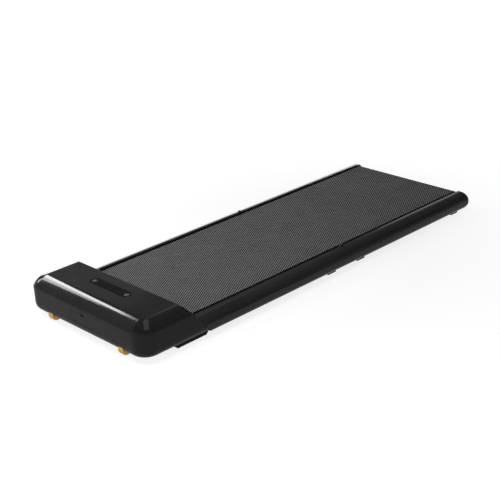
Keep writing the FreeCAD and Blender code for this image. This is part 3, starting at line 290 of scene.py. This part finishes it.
# Finishes that are one colour with its own patches, gloss and grain.
# The spans are the part of the noise that is spread over a finish's whole range.
finishSpread = {
    "patchSpan": (0.35, 0.65),
    "glossSpan": (0.3, 0.7),
    "glossFiner": 4.3,
    "grainDetail": 3.0,
}
plainFinishes = {
    "hood_shell": {"dark": (0.0160, 0.0160, 0.0163), "light": (0.0186, 0.0186, 0.0190), "patch": 9,
                   "rough": (0.36, 0.44), "grain": 1300, "depth": 1.5e-5, "specular": 0.09},
    "hood_gloss": {"dark": (0.0078, 0.0078, 0.0080), "light": (0.0098, 0.0098, 0.0101), "patch": 6,
                   "rough": (0.08, 0.13), "grain": 900, "depth": 2e-6},
    "black_plastic": {"dark": (0.016, 0.016, 0.017), "light": (0.024, 0.024, 0.025), "patch": 16,
                      "rough": (0.42, 0.58), "grain": 1100, "depth": 5e-5, "specular": 0.3},
    "smoked_window": {"dark": (0.004, 0.004, 0.0045), "light": (0.006, 0.006, 0.0065), "patch": 22,
                      "rough": (0.04, 0.10), "grain": 60, "depth": 2e-6, "specular": 0.08},
    "bare_aluminium": {"dark": (0.60, 0.61, 0.62), "light": (0.74, 0.75, 0.76), "patch": 40,
                       "metallic": 1.0, "rough": (0.24, 0.40), "grain": 90,
                       "stretch": (14, 1, 1), "depth": 2e-5},
    "rail_coat": {"dark": (0.0145, 0.0145, 0.0150), "light": (0.0185, 0.0185, 0.0190), "patch": 5,
                  "rough": (0.10, 0.15), "grain": 420, "stretch": (1, 0.02, 1), "depth": 2e-6,
                  "specular": 0.18},
    "frame_paint": {"dark": (0.0035, 0.0035, 0.0036), "light": (0.0065, 0.0065, 0.0067), "patch": 12,
                    "rough": (0.46, 0.62), "grain": 620, "depth": 6e-5, "specular": 0.1},
    "bright_steel": {"dark": (0.46, 0.46, 0.47), "light": (0.64, 0.64, 0.65), "patch": 30,
                     "metallic": 1.0, "rough": (0.20, 0.36), "grain": 120,
                     "stretch": (9, 1, 1), "depth": 1.5e-5},
    "dark_steel": {"dark": (0.008, 0.008, 0.0083), "light": (0.014, 0.014, 0.0145), "patch": 60,
                   "rough": (0.34, 0.5), "grain": 300, "stretch": (4, 1, 1), "depth": 1.5e-5,
                   "specular": 0.08},
    "lamp_lens": {"dark": (0.10, 0.10, 0.102), "light": (0.17, 0.17, 0.172), "patch": 300,
                  "rough": (0.16, 0.26), "grain": 900, "depth": 1e-5},
    "motor_paint": {"dark": (0.040, 0.040, 0.044), "light": (0.062, 0.062, 0.068), "patch": 18,
                    "rough": (0.28, 0.42), "grain": 500, "depth": 3e-5},
    "black_rubber": {"dark": (0.012, 0.012, 0.012), "light": (0.021, 0.021, 0.0205), "patch": 45,
                     "rough": (0.62, 0.82), "grain": 900, "depth": 8e-5, "specular": 0.12},
    "belt_edge": {"dark": (0.0025, 0.0025, 0.0026), "light": (0.005, 0.005, 0.0051), "patch": 40,
                  "rough": (0.7, 0.9), "grain": 800, "depth": 2e-5, "specular": 0.05},
    "amber_wheel": {"dark": (0.78, 0.44, 0.075), "light": (0.95, 0.62, 0.16), "patch": 70,
                    "rough": (0.38, 0.55), "grain": 700, "depth": 4e-5},
}


def plainFinish(name, look):
    material, tree, shader = startMaterial(name, look)
    even = coordinates(tree)
    patches = remap(tree, noise(tree, even, look["patch"]), *finishSpread["patchSpan"], 0.0, 1.0)
    tree.links.new(tint(tree, patches, look["dark"], look["light"]), shader.inputs["Base Color"])
    gloss = noise(tree, even, look["patch"] * finishSpread["glossFiner"])
    rough = remap(tree, gloss, *finishSpread["glossSpan"], *look["rough"])
    tree.links.new(rough, shader.inputs["Roughness"])
    along = coordinates(tree, look.get("stretch", (1, 1, 1)))
    emboss(tree, shader, noise(tree, along, look["grain"], finishSpread["grainDetail"]), look["depth"])
    return material


# Green lacquered board with copper traces below the lacquer
boardLook = {
    "dark": (0.012, 0.085, 0.036),
    "light": (0.03, 0.17, 0.07),
    "pitch": 90.0,
    "traceWidth": 0.06,
    "traceSoft": 0.2,
    "vias": 260.0,
    "viaEdge": (0.12, 0.2),
    "wear": 30.0,
    "wearSpan": (0.4, 0.6),
    "wearLeft": (0.3, 1.0),
    "rough": (0.42, 0.28),
    "depth": 6e-5,
}


def boardFinish(name):
    look = boardLook
    material, tree, shader = startMaterial(name, look)
    even = coordinates(tree)
    bricks = tree.nodes.new("ShaderNodeTexBrick")
    for socket, key in (("Scale", "pitch"), ("Mortar Size", "traceWidth"),
                        ("Mortar Smooth", "traceSoft")):
        bricks.inputs[socket].default_value = look[key]
    tree.links.new(even, bricks.inputs["Vector"])
    holes = remap(tree, cells(tree, even, look["vias"]), *look["viaEdge"], 1.0, 0.0)
    lines = joinValues(tree, "MAXIMUM", bricks.outputs["Fac"], holes)
    wear = remap(tree, noise(tree, even, look["wear"]), *look["wearSpan"], *look["wearLeft"])
    worn = joinValues(tree, "MULTIPLY", lines, wear)
    tree.links.new(tint(tree, worn, look["dark"], look["light"]), shader.inputs["Base Color"])
    tree.links.new(remap(tree, worn, 0.0, 1.0, *look["rough"]), shader.inputs["Roughness"])
    emboss(tree, shader, worn, look["depth"])
    return material


# Black-faced fibreboard: short pressed fibres under a thin wax
deckLook = {
    "dark": (0.0035, 0.0033, 0.003),
    "light": (0.009, 0.0085, 0.008),
    "specular": 0.01,
    "fibre": 160.0,
    "fibreStretch": (1, 0.25, 1),
    "fibreDetail": 8.0,
    "fibreShare": 0.7,
    "fleck": 900.0,
    "fleckDetail": 2.0,
    "fleckShare": 0.3,
    "toneSpan": (0.38, 0.62),
    "glossSpan": (0.3, 0.7),
    "rough": (0.45, 0.68),
    "depth": 8e-5,
}


def deckFinish(name):
    look = deckLook
    material, tree, shader = startMaterial(name, look)
    fibres = noise(tree, coordinates(tree, look["fibreStretch"]), look["fibre"], look["fibreDetail"])
    flecks = noise(tree, coordinates(tree), look["fleck"], look["fleckDetail"])
    mixed = joinValues(tree, "ADD", joinValues(tree, "MULTIPLY", fibres, look["fibreShare"]),
                       joinValues(tree, "MULTIPLY", flecks, look["fleckShare"]))
    tone = remap(tree, mixed, *look["toneSpan"], 0.0, 1.0)
    tree.links.new(tint(tree, tone, look["dark"], look["light"]), shader.inputs["Base Color"])
    rough = remap(tree, fibres, *look["glossSpan"], *look["rough"])
    tree.links.new(rough, shader.inputs["Roughness"])
    emboss(tree, shader, mixed, look["depth"])
    return material


# Walking belt: one closed loop round both rollers, with close rows where the deck folds
beltSet = {
    "halfWidth": 0.207,
    "radius": 0.0209,
    "thickness": 0.0016,
    "frontY": -0.5600,
    "rearY": 0.6865,
    "axisZ": 0.0411,
    "foldY": 0.105,
    "foldReach": 0.010,
    "foldSteps": 24,
    "foldStretch": 6.9,    # times as long as when flat
    "turnSteps": 40,
    "topSlack": 1e-4,
    "edgeFacing": 0.9,     # faces turned this far sideways are cut edges
    "sharpAngle": 40,
    "weave": {"across": 0.00731, "along": 0.0126},
}
beltLook = {
    "dark": (0.002, 0.002, 0.0021),
    "light": (0.262, 0.262, 0.264),
    "specular": 0.05,
    "threadEdge": (0.2, 0.36),
    "wear": 420,
    "wearDetail": 3.0,
    "wearSpan": (0.3, 0.7),
    "wearLeft": (0.92, 1.0),
    "patch": 25,
    "glossSpan": (0.3, 0.7),
    "rough": (0.60, 0.78),
    "depth": 3.5e-4,
}


def lowerRun(y):
    # Distance along the lower run. It lies outside when the deck folds, so at the fold the weave
    # is laid out for the length that it has then
    reach = beltSet["foldReach"]
    bent = min(max(beltSet["foldY"] + reach - y, 0.0), 2 * reach)
    return beltSet["rearY"] - y + bent * (beltSet["foldStretch"] - 1)


def beltLength():
    straight = beltSet["rearY"] - beltSet["frontY"]
    return straight + lowerRun(beltSet["frontY"]) + 2 * math.pi * beltSet["radius"]


def alongBelt(spot, middle):
    # Distance along the loop from the top of the front roller, rearwards
    straight = beltSet["rearY"] - beltSet["frontY"]
    turn = math.pi * beltSet["radius"]
    if middle.y > beltSet["rearY"]:
        angle = math.atan2(spot.y - beltSet["rearY"], spot.z - beltSet["axisZ"])
        return straight + beltSet["radius"] * max(angle, 0.0)
    if middle.y < beltSet["frontY"]:
        angle = math.atan2(beltSet["frontY"] - spot.y, beltSet["axisZ"] - spot.z)
        return straight + turn + lowerRun(beltSet["frontY"]) + beltSet["radius"] * max(angle, 0.0)
    if middle.z > beltSet["axisZ"]:
        return spot.y - beltSet["frontY"]
    return straight + turn + lowerRun(spot.y)


def drawEdge(bm, edges, places):
    # Draws an edge on along the run, through each place in turn
    for place in places:
        grown = bmesh.ops.extrude_edge_only(bm, edges=edges)["geom"]
        edges = [edge for edge in pick(grown, bmesh.types.BMEdge)
                 if len(edge.link_faces) == 1 and all(vert in grown for vert in edge.verts)
                 and abs(edge.verts[0].co.x - edge.verts[1].co.x) > beltSet["halfWidth"]]
        for edge in edges:
            for vert in edge.verts:
                vert.co.y = place
    return edges


def turnEdge(bm, edges, centreY):
    # Half a turn round a roller
    ends = [vert for edge in edges for vert in edge.verts]
    made = bmesh.ops.spin(bm, geom=edges + ends, cent=(0, centreY, beltSet["axisZ"]), axis=(1, 0, 0),
                          angle=-math.pi, steps=beltSet["turnSteps"], use_merge=False,
                          use_duplicate=False)
    return pick(made["geom_last"], bmesh.types.BMEdge)


def beltRun(start, end):
    # Places along a straight run, close together where the deck folds
    fold, reach, steps = beltSet["foldY"], beltSet["foldReach"], beltSet["foldSteps"]
    places = [fold - reach + 2 * reach * step / steps for step in range(steps + 1)]
    places = [start + (places[0] - start) / 2] + places + [end + (places[-1] - end) / 2]
    return sorted(places, reverse=end < start) + [end]


def makeBelt():
    look = beltSet
    bm = bmesh.new()
    top = look["axisZ"] + look["radius"]
    corners = [bm.verts.new((side * look["halfWidth"], look["frontY"], top)) for side in (-1, 1)]
    edges = [bm.edges.new(corners)]
    edges = drawEdge(bm, edges, beltRun(look["frontY"], look["rearY"]))
    edges = turnEdge(bm, edges, look["rearY"])
    edges = drawEdge(bm, edges, beltRun(look["rearY"], look["frontY"]))
    turnEdge(bm, edges, look["frontY"])
    bmesh.ops.remove_doubles(bm, verts=bm.verts[:], dist=spotGap)
    bmesh.ops.recalc_face_normals(bm, faces=bm.faces[:])
    upper = [face for face in bm.faces if face.calc_center_median().z > top - look["topSlack"]]
    if sum(face.normal.z for face in upper) < 0:
        bmesh.ops.reverse_faces(bm, faces=bm.faces[:])
    weave = bm.loops.layers.uv.new("weave")
    for face in bm.faces:
        middle = face.calc_center_median()
        for loop in face.loops:
            loop[weave].uv = (loop.vert.co.x, alongBelt(loop.vert.co, middle))
    bmesh.ops.solidify(bm, geom=bm.faces[:], thickness=look["thickness"])
    bm.normal_update()
    for face in bm.faces:
        face.smooth = True
        face.material_index = 1 if abs(face.normal.x) > look["edgeFacing"] else 0
    mesh = bpy.data.meshes.new("walkingBelt")
    bm.to_mesh(mesh)
    bm.free()
    mesh.set_sharp_from_angle(angle=math.radians(look["sharpAngle"]))
    belt = bpy.data.objects.new("walkingBelt", mesh)
    scene.collection.objects.link(belt)
    mesh.materials.append(beltFinish("wovenBelt"))
    mesh.materials.append(finishes["belt_edge"])
    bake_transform(belt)
    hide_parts("belt_front_run", "belt_rear_run")
    low, high = [[round(extreme(vert.co[axis] for vert in mesh.vertices), 4) for axis in range(3)]
                 for extreme in (min, max)]
    print("belt from", low, "to", high)


def beltFinish(name):
    # Flecks stand in offset rows, as the raised threads of a diamond weave do
    look = beltLook
    material, tree, shader = startMaterial(name, look)
    weave = tree.nodes.new("ShaderNodeSeparateXYZ")
    laidOut = coordinates(tree, source="UV")
    tree.links.new(laidOut, weave.inputs[0])
    whole = beltLength() / round(beltLength() / beltSet["weave"]["along"])    # no seam in the loop
    waves = []
    for axis, pitch in (("X", beltSet["weave"]["across"]), ("Y", whole)):
        phase = joinValues(tree, "MULTIPLY", weave.outputs[axis], 2 * math.pi / pitch)
        waves.append(joinValues(tree, "SINE", phase))
    checks = joinValues(tree, "MULTIPLY", *waves)
    threads = remap(tree, checks, *look["threadEdge"], 0.0, 1.0)
    rubbed = noise(tree, laidOut, look["wear"], look["wearDetail"])
    worn = remap(tree, rubbed, *look["wearSpan"], *look["wearLeft"])
    flecks = joinValues(tree, "MULTIPLY", threads, worn)
    tree.links.new(tint(tree, flecks, look["dark"], look["light"]), shader.inputs["Base Color"])
    gloss = noise(tree, coordinates(tree), look["patch"])
    tree.links.new(remap(tree, gloss, *look["glossSpan"], *look["rough"]), shader.inputs["Roughness"])
    emboss(tree, shader, threads, look["depth"])
    return material


# Shared steps of the modelled pieces
def pick(items, kind):
    return [item for item in items if isinstance(item, kind)]


def wholeMesh(bm):
    return bm.verts[:] + bm.edges[:] + bm.faces[:]


def drawLine(bm, places):
    spots = [bm.verts.new(place) for place in places]
    return spots, [bm.edges.new(ends) for ends in zip(spots, spots[1:])]


def turnLine(bm, places, centre, axis, steps):
    # A line turned once round its axis
    spots, edges = drawLine(bm, places)
    bmesh.ops.spin(bm, geom=spots + edges, cent=centre, axis=axis, angle=2 * math.pi, steps=steps,
                   use_merge=True, use_duplicate=False)
    bmesh.ops.remove_doubles(bm, verts=bm.verts[:], dist=mergeGap)


def roundEdges(bm, edges, size, steps):
    bmesh.ops.bevel(bm, geom=edges, offset=size, offset_type="OFFSET", segments=steps, profile=0.5,
                    affect="EDGES", material=-1, clamp_overlap=True)


def mirrorSides(bm):
    # The same piece again on the left side
    bmesh.ops.mirror(bm, geom=wholeMesh(bm), axis="X", merge_dist=0)
    bmesh.ops.recalc_face_normals(bm, faces=bm.faces[:])


def finishPiece(bm, name, body, replaced, finishNames, sharpAngle=35):
    for face in bm.faces:
        face.smooth = True
    mesh = bpy.data.meshes.new(name)
    bm.to_mesh(mesh)
    bm.free()
    mesh.set_sharp_from_angle(angle=math.radians(sharpAngle))
    piece = bpy.data.objects.new(name, mesh)
    scene.collection.objects.link(piece)
    for finishName in finishNames:
        mesh.materials.append(finishes[finishName])
    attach(piece, body)
    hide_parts(*replaced)
    return piece


def keepFlats(piece):
    # Large flat faces keep their own normals beside the rounded edges
    modifier = piece.modifiers.new("flatFaces", "WEIGHTED_NORMAL")
    modifier.keep_sharp = True
    modifier.weight = 100


# Hood: a polished cap over a satin skirt, which meet just above the crease of the shoulder
hoodSet = {
    "halfWidth": 0.259,
    "creaseZ": 0.0865,
    "satinBand": 0.004,
    "slantPoint": (0, -0.553, 0.117),
    "slantNormal": (0, 0.1035, 0.081),
    "slantGap": 2e-5,
    "rearEdge": 0.0013,
    "rearSteps": 3,
    "rearAngle": 25,     # degrees, as all angles here
    "sideSlack": 5e-4,
    "nodeGap": 2e-6,
    "flatAngle": 0.2,
    "sharpAngle": 16,
}


def makeHood():
    look = hoodSet
    bm = bmesh.new()
    bm.from_mesh(nodes["motor_hood"].data)
    bmesh.ops.remove_doubles(bm, verts=bm.verts[:], dist=look["nodeGap"])
    bmesh.ops.dissolve_limit(bm, angle_limit=math.radians(look["flatAngle"]), verts=bm.verts[:],
                             edges=bm.edges[:])
    point, slant = Vector(look["slantPoint"]), Vector(look["slantNormal"]).normalized()
    onSlant = {vert for vert in bm.verts if abs((vert.co - point).dot(slant)) < look["slantGap"]}
    rim = [edge for edge in bm.edges if onSlant.issuperset(edge.verts) and edge.is_convex
           and edge.calc_face_angle(0.0) > math.radians(look["rearAngle"])
           and (min(abs(vert.co.x) for vert in edge.verts) > look["halfWidth"] - look["sideSlack"]
                or min(vert.co.z for vert in edge.verts) > look["creaseZ"] - spotGap)]
    roundEdges(bm, rim, look["rearEdge"], look["rearSteps"])
    polished = look["creaseZ"] + look["satinBand"]
    bmesh.ops.bisect_plane(bm, geom=wholeMesh(bm), dist=mergeGap, plane_co=(0, 0, polished),
                           plane_no=(0, 0, 1))
    for face in bm.faces:
        lowest = min(vert.co.z for vert in face.verts)
        face.material_index = 1 if lowest > polished - spotGap else 0
    hood = finishPiece(bm, "motorHoodShell", "front_half", ["motor_hood"],
                       ["hood_shell", "hood_gloss"], look["sharpAngle"])
    keepFlats(hood)
    print("hood shell:", len(rim), "rear edges rounded,", len(hood.data.polygons), "faces")


# Rails: a full-round skin on each side, and end caps that round off behind it
railSet = {
    "innerTop": 0.2185,
    "inner": 0.2131,
    "outer": 0.2600,
    "low": 0.0135,
    "high": 0.0635,
    "topRound": 0.0330,
    "topSteps": 16,
    "lowRound": 0.0120,
    "lowSteps": 8,
    "wall": 0.0020,
    "seam": 0.0008,
    "headReach": 0.2600,    # drawn on before the cut
    "capReach": 0.0255,
    "capSteps": 12,
    "capRounds": {"top": 0.014, "low": 0.0255, "outer": 0.012},
    "capSlack": 0.001,
    "capGap": 1e-7,         # shorter edges run across
}


def railStrip(bm, places):
    # Top, outer side and sole, drawn rearwards from place to place, then both outer edges rounded
    look = railSet
    corners = [(look["innerTop"], look["high"]), (look["outer"], look["high"]),
               (look["outer"], look["low"]), (look["inner"], look["low"])]
    edges = drawLine(bm, [(x, places[0], z) for x, z in corners])[1]
    for place in places[1:]:
        drawn = bmesh.ops.extrude_edge_only(bm, edges=edges)["geom"]
        fresh = pick(drawn, bmesh.types.BMVert)
        bmesh.ops.translate(bm, verts=fresh, vec=(0, place - fresh[0].co.y, 0))
        edges = [edge for edge in pick(drawn, bmesh.types.BMEdge)
                 if set(fresh).issuperset(edge.verts)]
    for level, size, steps in ((look["high"], look["topRound"], look["topSteps"]),
                               (look["low"], look["lowRound"], look["lowSteps"])):
        corner = {vert for vert in bm.verts if abs(vert.co.x - look["outer"]) < mergeGap
                  and abs(vert.co.z - level) < mergeGap}
        roundEdges(bm, [edge for edge in bm.edges if corner.issuperset(edge.verts)], size, steps)


def finishRail(bm, name, body, replaced):
    mirrorSides(bm)
    keepFlats(finishPiece(bm, name, body, replaced, ["rail_coat"]))


def makeRails():
    for name, body, node in (("frontRailSkins", "front_half", "front_rail"),
                             ("rearRailSkins", "rear_half", "rear_rail")):
        low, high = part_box(node + "_right")
        bm = bmesh.new()
        if body == "front_half":
            # Drawn on into the head, then cut off along the hood's slant
            railStrip(bm, [low[1] - railSet["headReach"], high[1]])
            slant = Vector(hoodSet["slantNormal"]).normalized()
            seam = Vector(hoodSet["slantPoint"]) + slant * railSet["seam"]
            bmesh.ops.bisect_plane(bm, geom=wholeMesh(bm), dist=mergeGap, plane_co=seam, plane_no=slant,
                                   clear_inner=True)
        else:
            railStrip(bm, [low[1], high[1]])
        bmesh.ops.recalc_face_normals(bm, faces=bm.faces[:])
        if max(bm.faces, key=lambda face: face.calc_center_median().z).normal.z < 0:
            bmesh.ops.reverse_faces(bm, faces=bm.faces[:])
        bmesh.ops.solidify(bm, geom=bm.faces[:], thickness=railSet["wall"])
        finishRail(bm, name, body, [node + "_left", node + "_right"])


def roundIn(distance, size):
    # How far a quarter round of this size stands in, this far before its end
    beyond = max(size - distance, 0.0)
    return size - math.sqrt(size * size - beyond * beyond)


def makeRailCaps():
    look = railSet
    rounds = look["capRounds"]
    low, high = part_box("rear_cap_right")
    turns = [math.pi / 2 * step / look["capSteps"] for step in range(look["capSteps"] + 1)]
    bm = bmesh.new()
    railStrip(bm, [low[1]] + [high[1] - look["capReach"] * (1 - math.sin(turn)) for turn in turns])
    tall, wide = look["high"] - look["low"], look["outer"] - look["inner"]
    for vert in bm.verts:
        left = high[1] - vert.co.y
        top, sole, out = [roundIn(left, rounds[key]) for key in ("top", "low", "outer")]
        vert.co.z = look["low"] + sole + (vert.co.z - look["low"]) * (tall - sole - top) / tall
        vert.co.x = look["inner"] + (vert.co.x - look["inner"]) * (wide - out) / wide
    rows = []    # the upper and the lower inner edge, which a wall joins
    for side, level in ((1, look["high"] - rounds["top"] - look["capSlack"]),
                        (-1, look["low"] + rounds["low"] + look["capSlack"])):
        rows.append([edge for edge in bm.edges if edge.is_boundary
                     and all(vert.co.z * side > level * side for vert in edge.verts)
                     and abs(edge.verts[0].co.y - edge.verts[1].co.y) > look["capGap"]])
    bmesh.ops.bridge_loops(bm, edges=rows[0] + rows[1])
    bmesh.ops.holes_fill(bm, edges=[edge for edge in bm.edges if edge.is_boundary], sides=0)
    print("cap edges left open:", sum(edge.is_boundary for edge in bm.edges))
    finishRail(bm, "railEndCaps", "rear_half", ["rear_cap_left", "rear_cap_right"])


# Transport wheels: a grooved tread, a dished web with spokes and a hub
wheelSet = {
    "centreX": 0.157,
    "centreY": -0.6905,
    "centreZ": 0.0205,
    "steps": 60,
    "spokes": 6,
    "spokeWidth": 2,    # in steps
    "spokeHeight": 0.0026,
    "dish": (0.0073, 0.0127),
    "dishDepth": 0.0057,
    # Half the section: distance from the middle of the tread, and radius
    "profile": [(0.0, 0.0185), (0.0018, 0.0185), (0.0023, 0.0177), (0.0033, 0.0177), (0.0038, 0.0185),
                (0.0076, 0.0185), (0.0086, 0.0182), (0.0093, 0.0176), (0.0095, 0.0168), (0.0095, 0.0134),
                (0.0092, 0.0130), (0.0057, 0.0127), (0.0057, 0.0073), (0.0091, 0.0071), (0.0095, 0.0066),
                (0.0095, 0.00255), (0.0, 0.00255)],
}


def makeWheel(name, body, node, side):
    look = wheelSet
    centre = Vector((side * look["centreX"], look["centreY"], look["centreZ"]))
    bm = bmesh.new()
    turnLine(bm, [centre + Vector((out, 0, radius)) for out, radius in look["profile"]], centre,
             (1, 0, 0), look["steps"])
    low, high = look["dish"]
    webs = []
    for face in bm.faces:
        middle = face.calc_center_median() - centre
        reach = math.hypot(middle.y, middle.z)
        if abs(middle.x - look["dishDepth"]) < spotGap and low < reach < high:
            share = math.atan2(middle.y, middle.z) / (2 * math.pi) + 1
            turn = int(share * look["steps"]) % look["steps"]
            if turn % (look["steps"] // look["spokes"]) < look["spokeWidth"]:
                webs.append(face)
    raised = bmesh.ops.extrude_face_region(bm, geom=webs)["geom"]
    bmesh.ops.delete(bm, geom=webs, context="FACES_ONLY")
    bmesh.ops.translate(bm, verts=pick(raised, bmesh.types.BMVert), vec=(look["spokeHeight"], 0, 0))
    bmesh.ops.mirror(bm, geom=wholeMesh(bm), matrix=Matrix.Translation(-centre), axis="X",
                     merge_dist=mergeGap)
    bmesh.ops.remove_doubles(bm, verts=bm.verts[:], dist=mergeGap)
    bmesh.ops.recalc_face_normals(bm, faces=bm.faces[:])
    finishPiece(bm, name, body, [node], ["amber_wheel"])


# Rubber feet: a tapered pad with a grooved sole and soft edges
footSet = {
    "inner": 0.213,
    "width": 0.026,
    "height": 0.0135,
    "grooveWidth": 0.0020,
    "grooveDepth": 0.0008,
    "groovePitch": 0.0075,
    "edge": 0.0011,
    "edgeSteps": 3,
    "edgeAngle": 20,
    "soleSlack": 1e-4,
    "rows": {
        "head": {"node": "head_feet", "body": "front_half", "slope": 0.014},
        "frontFold": {"node": "front_fold_feet", "body": "front_half", "slope": 0.003},
        "rearFold": {"node": "rear_fold_feet", "body": "rear_half", "slope": 0.003},
        "rear": {"node": "rear_feet", "body": "rear_half", "slope": 0.003},
    },
}


def footOutline(start, end, slope):
    # Side view from the top rear corner round the sole, with its grooves
    places = [(end, footSet["height"]), (start, footSet["height"]), (start + slope, 0.0)]
    solid = end - start - 2 * slope
    count = int((solid - footSet["groovePitch"]) / footSet["groovePitch"])
    first = start + slope + (solid - (count - 1) * footSet["groovePitch"]) / 2
    for number in range(count):
        middle = first + number * footSet["groovePitch"]
        near, far = middle - footSet["grooveWidth"] / 2, middle + footSet["grooveWidth"] / 2
        places += [(near, 0.0), (near, footSet["grooveDepth"]),
                   (far, footSet["grooveDepth"]), (far, 0.0)]
    return places + [(end - slope, 0.0)]


def makeFeet(name, row):
    look = footSet
    low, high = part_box(row["node"])
    bm = bmesh.new()
    outline = footOutline(low[1], high[1], row["slope"])
    sheet = bm.faces.new([bm.verts.new((look["inner"], y, z)) for y, z in outline])
    drawn = bmesh.ops.extrude_face_region(bm, geom=[sheet])["geom"]
    bmesh.ops.translate(bm, verts=pick(drawn, bmesh.types.BMVert), vec=(look["width"], 0, 0))
    bmesh.ops.recalc_face_normals(bm, faces=bm.faces[:])
    soleTop = look["grooveDepth"] + look["soleSlack"]
    outer = [edge for edge in bm.edges if edge.is_convex
             and edge.calc_face_angle(0.0) > math.radians(look["edgeAngle"])
             and max(vert.co.z for vert in edge.verts) > soleTop]
    roundEdges(bm, outer, look["edge"], look["edgeSteps"])
    mirrorSides(bm)
    finishPiece(bm, name + "FootPads", row["body"], [row["node"]], ["black_rubber"])


# Casing screws: domed heads with a cross recess, seen under the head
screwSet = {
    "spots": [(0.216, -0.667), (0.2315, -0.612)],
    "headRadius": 0.004,
    "headHeight": 0.002,
    "shankRadius": 0.002,
    "seatZ": 0.0135,
    "shankTop": 0.0355,
    "recessReach": 0.0023,
    "recessWidth": 0.0008,
    "recessDepth": 0.0011,
    "tip": 0.001,
    "headSide": 0.0007,
    "domeRise": 0.0005,
    "domeReach": (0.9, 0.7),    # shares of the head's radius
    "crossReach": 0.8,          # share of the recess at its foot
    "crossPower": 3,            # how narrow the arms are
    "steps": 32,
    "sharpAngle": 30,
}


def openEdges(bm, level):
    return [edge for edge in bm.edges if edge.is_boundary
            and abs(edge.verts[0].co.z - level) < mergeGap]


def makeScrews():
    look = screwSet
    bm = bmesh.new()
    base = look["seatZ"] - look["headHeight"]
    shoulder, crown = [look["headRadius"] * share for share in look["domeReach"]]
    profile = [(0.0, look["shankTop"]), (look["shankRadius"], look["shankTop"] - look["tip"]),
               (look["shankRadius"], look["seatZ"]), (look["headRadius"], look["seatZ"]),
               (look["headRadius"], look["seatZ"] - look["headSide"]),
               (shoulder, base + look["domeRise"]), (crown, base), (look["recessReach"], base)]
    for x, y in [(side * x, y) for x, y in look["spots"] for side in (-1, 1)]:
        turnLine(bm, [(x + reach, y, z) for reach, z in profile], (x, y, 0), (0, 0, 1), look["steps"])
        rim = [edge for edge in openEdges(bm, base)
               if math.dist(edge.verts[0].co.xy, (x, y)) < look["recessReach"] + spotGap]
        drawn = bmesh.ops.extrude_edge_only(bm, edges=rim)["geom"]
        for vert in pick(drawn, bmesh.types.BMVert):
            # The recess narrows to a cross at its foot
            offset = Vector((vert.co.x - x, vert.co.y - y))
            turn = abs(math.cos(2 * math.atan2(offset.y, offset.x))) ** look["crossPower"]
            arm = look["recessReach"] * look["crossReach"] - look["recessWidth"]
            vert.co.xy = Vector((x, y)) + offset.normalized() * (look["recessWidth"] + arm * turn)
            vert.co.z = base + look["recessDepth"]
        bmesh.ops.edgeloop_fill(bm, edges=openEdges(bm, base + look["recessDepth"]))
    bmesh.ops.recalc_face_normals(bm, faces=bm.faces[:])
    finishPiece(bm, "casingScrewSet", "front_half", ["casing_screws"], ["bright_steel"],
                look["sharpAngle"])


addRoom()
addFloor()
for lampName, lampLook in studio["lamps"].items():
    addLamp(lampName, lampLook)
for boardName, boardSet in studio["boards"].items():
    addBoard(boardName, boardSet)
print("studio lit")

finishes = {slot: plainFinish(slot, look) for slot, look in plainFinishes.items()}
finishes["circuit_board"] = boardFinish("circuit_board")
finishes["deck_board"] = deckFinish("deck_board")
makeBelt()
makeHood()
makeRails()
makeRailCaps()
print("rails and caps made")
for wheelName, wheelBody, wheelNode, wheelSide in (
        ("leftRollingWheel", "left_transport_wheel", "left_wheel", -1),
        ("rightRollingWheel", "right_transport_wheel", "right_wheel", 1)):
    makeWheel(wheelName, wheelBody, wheelNode, wheelSide)
for footName, footRow in footSet["rows"].items():
    makeFeet(footName, footRow)
makeScrews()
print("wheels, feet and screws made")
for nodeName, node in nodes.items():
    if slotOf[nodeName] in finishes:
        node.material_slots[0].material = finishes[slotOf[nodeName]]
print("finishes given:", len(finishes))
